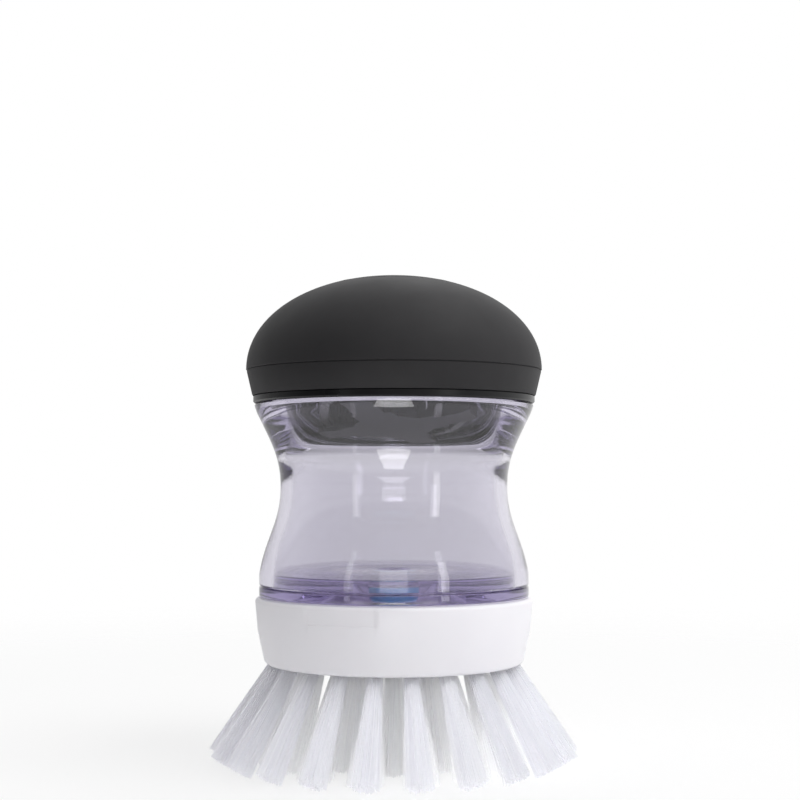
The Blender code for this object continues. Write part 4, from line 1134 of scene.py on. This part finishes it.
# %% The button
BUTTON_EDGE = 11.0
crown = [point for point in dome_curve(OUTSIDE_DOME, 0, count=60) if point[0] < BUTTON_EDGE]
crown[0] = (0, crown[0][1])
edge_level = crown[-1][1]
button_outline = crown + [
    (11.25, edge_level - 0.16), (11.38, edge_level - 0.42), (11.4, edge_level - 0.6),
    (11.4, 95.07), (13.45, 95.07), (13.6, 94.92), (13.6, 93.72), (13.45, 93.57), (6.2, 93.57),
    (6.2, 90.72), (6.05, 90.57), (4.85, 90.57), (4.7, 90.72), (4.7, 93.57), (0, 93.57),
]
button_mesh = turned("push_button_cover", button_outline, steps=160)
new_piece("push_button_cover", button_mesh, soft_touch, "button", "soft_grip", "push_button")

# %% The piston and its ring
piston_outline = eased([
    (0, 93.27), (4.3, 93.27), (4.3, 88.23), (13.6, 88.23), (13.6, 87.43), (12.2, 87.43),
    (12.2, 85.83), (13.6, 85.83), (13.6, 85.03), (5.95, 85.03), (5.95, 83.83), (0, 83.83),
], ease=0.18)
piston_mesh = turned("pump_piston", piston_outline, steps=SMALL_STEPS)
new_piece("pump_piston", piston_mesh, satin_black, "button", "black_plastic", "piston")
ring_outline = eased([(12.5, 87.13), (12.5, 86.13), (13.7, 86.13), (13.7, 87.13)], ease=0.35)
ring_mesh = turned("piston_ring", ring_outline, steps=SMALL_STEPS)
new_piece("piston_ring", ring_mesh, seal_rubber, "button", "seal_rubber", "piston_seal")

# %% The gasket under the ceiling
gasket_outline = eased([(24.8, 85.7), (24.8, 84.0), (22.8, 84.0), (22.8, 85.7)], ease=0.3)
gasket_mesh = turned("neck_gasket", gasket_outline)
new_piece("neck_gasket", gasket_mesh, seal_rubber, "cap_seal", "seal_rubber", "cap_gasket")

# %% [markdown]
# ## The return spring
#
# The spring is wound from wire of 0.9 mm. Its end coils lie nearly closed, so that it stands
# square, and the coils between them are open, because they do the work. A straight line of
# points is bent into the helix by its own place along the line, and a round profile swept along
# it gives the wire.

# %% The tree that winds a spring
tree, given, result = new_tree("return_spring", {
    "Steps": 320, "Turns": 5.0, "Coil Radius": 0.0068, "Wire Radius": 0.00045,
    "Bottom Level": 0.07615, "Top Level": 0.08428, "Closed Share": 0.14, "Closed Rise": 0.0007,
})
along = add_node(tree, "GeometryNodeSplineParameter")
turned_by = add_node(tree, MATH, "MULTIPLY", [along, given["Turns"]])
bearing = add_node(tree, MATH, "MULTIPLY", [turned_by, 2 * math.pi])
other_end = add_node(tree, MATH, "SUBTRACT", [1.0, given["Closed Share"]])
span = add_node(tree, MATH, "SUBTRACT", [given["Top Level"], given["Bottom Level"]])
open_rise = add_node(tree, MATH, "MULTIPLY_ADD", [given["Closed Rise"], -2.0, span])
low_coil, high_coil, open_coils = [
    add_node(tree, "ShaderNodeMapRange", inputs={
        "Value": along, "From Min": start, "From Max": end, "To Max": rise,
    })
    for start, end, rise in (
        (0.0, given["Closed Share"], given["Closed Rise"]),
        (other_end, 1.0, given["Closed Rise"]),
        (given["Closed Share"], other_end, open_rise),
    )
]
ends = add_node(tree, MATH, "ADD", [low_coil, high_coil])
climbed = add_node(tree, MATH, "ADD", [ends, open_coils])
level = add_node(tree, MATH, "ADD", [climbed, given["Bottom Level"]])
coil = bent_round(tree, given["Steps"], bearing, given["Coil Radius"], level)
wire = add_node(tree, "GeometryNodeCurvePrimitiveCircle", inputs={
    "Resolution": 14, "Radius": given["Wire Radius"],
})
wound = add_node(tree, "GeometryNodeCurveToMesh", inputs={
    "Curve": coil, "Profile Curve": wire, "Fill Caps": True,
})
spring_tree = end_tree(tree, wound, given, result)

# %% The spring, with a mesh of its own
spring_mesh = grown("wound_spring", spring_tree, bpy.data.meshes.new("spring_base"), drawn_wire, {})
spring = new_piece("wound_spring", shaded(spring_mesh), drawn_wire, "cap", "spring_steel",
                   "return_spring")
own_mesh(spring)

# %% [markdown]
# ## The guard
#
# Four arms and a broad hub, cut from one outline, close the lower end of the tube and carry the
# spring. The outline is drawn for one arm and turned three times. Its plate is given its
# thickness and eased edges, and a seat for the spring and four clips are joined to it.

# %% The outline of the guard, arm by arm
GUARD_BOTTOM, GUARD_TOP = 74.2, 75.4
ARM_TURN = 65
HUB_RADIUS, STEP_REACH, ARM_REACH = 8.6, 11.0, 17.6
HALF_STEP, HALF_ARM = 4.4, 3.1
CORNER = 0.3
PLATE_EASE = 0.22
SHARP_ABOVE = math.radians(50)
foot = math.sqrt(HUB_RADIUS ** 2 - HALF_STEP ** 2)
edge = math.asin(HALF_STEP / HUB_RADIUS)
shape = bmesh.new()
rim = []
for arm in range(4):
    angle = math.radians(ARM_TURN + 90 * arm)
    across = Vector((-math.sin(angle), math.cos(angle)))
    outward = Vector((math.cos(angle), math.sin(angle)))
    for run, side in (
        (foot, -HALF_STEP), (STEP_REACH, -HALF_STEP), (STEP_REACH, -HALF_ARM),
        (ARM_REACH - CORNER, -HALF_ARM), (ARM_REACH, -HALF_ARM + CORNER),
        (ARM_REACH, HALF_ARM - CORNER), (ARM_REACH - CORNER, HALF_ARM),
        (STEP_REACH, HALF_ARM), (STEP_REACH, HALF_STEP), (foot, HALF_STEP),
    ):
        rim.append(outward * run + across * side)
    for step in (1, 2, 3):
        bearing = angle + edge + (math.pi / 2 - 2 * edge) * step / 4
        rim.append(Vector((math.cos(bearing), math.sin(bearing))) * HUB_RADIUS)
lower = [shape.verts.new((point.x * MM, point.y * MM, GUARD_BOTTOM * MM)) for point in rim]
upper = [shape.verts.new((point.x * MM, point.y * MM, GUARD_TOP * MM)) for point in rim]
shape.faces.new(list(reversed(lower)))
shape.faces.new(upper)
for number in range(len(rim)):
    following = (number + 1) % len(rim)
    shape.faces.new((lower[number], lower[following], upper[following], upper[number]))
sharp = [line for line in shape.edges if line.calc_face_angle(0) > SHARP_ABOVE]
bmesh.ops.bevel(shape, geom=sharp, offset=PLATE_EASE * MM, segments=2, affect="EDGES", profile=0.5)
plate = bpy.data.meshes.new("guard_plate")
shape.to_mesh(plate)
shape.free()
print("guard plate", len(plate.polygons), "faces")

# %% The spring seat and the clips, joined to the plate
joined = [plate, turned("spring_seat", eased([
    (0, 76.6), (5.95, 76.6), (5.95, 75.3), (0, 75.3)], ease=0.2), steps=72)]
clip_outline = eased([(16.3, 77.8), (16.3, 75.3), (17.3, 75.3), (17.3, 77.8)], ease=0.15)
for arm in range(4):
    joined.append(turned(f"clip_{arm + 1}", clip_outline, ARM_TURN + 90 * arm - 5, 10, steps=8))
shape = bmesh.new()
for mesh in joined:
    shape.from_mesh(mesh)
guard_mesh = bpy.data.meshes.new("cross_shaped_guard")
shape.to_mesh(guard_mesh)
shape.free()
new_piece("cross_shaped_guard", shaded(guard_mesh), satin_grey, "cap", "grey_plastic",
          "cross_guard")

# %% [markdown]
# ## Measure and finish
#
# The dressed brush must fill the same box as the solid model. Its box is measured here and
# printed in mm.

# %% Measure the dressed brush
dressed_box = [list(corner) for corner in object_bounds()]
dressed_mm = [[round(value / MM, 2) for value in corner] for corner in dressed_box]
print("dressed brush in mm:", dressed_mm)
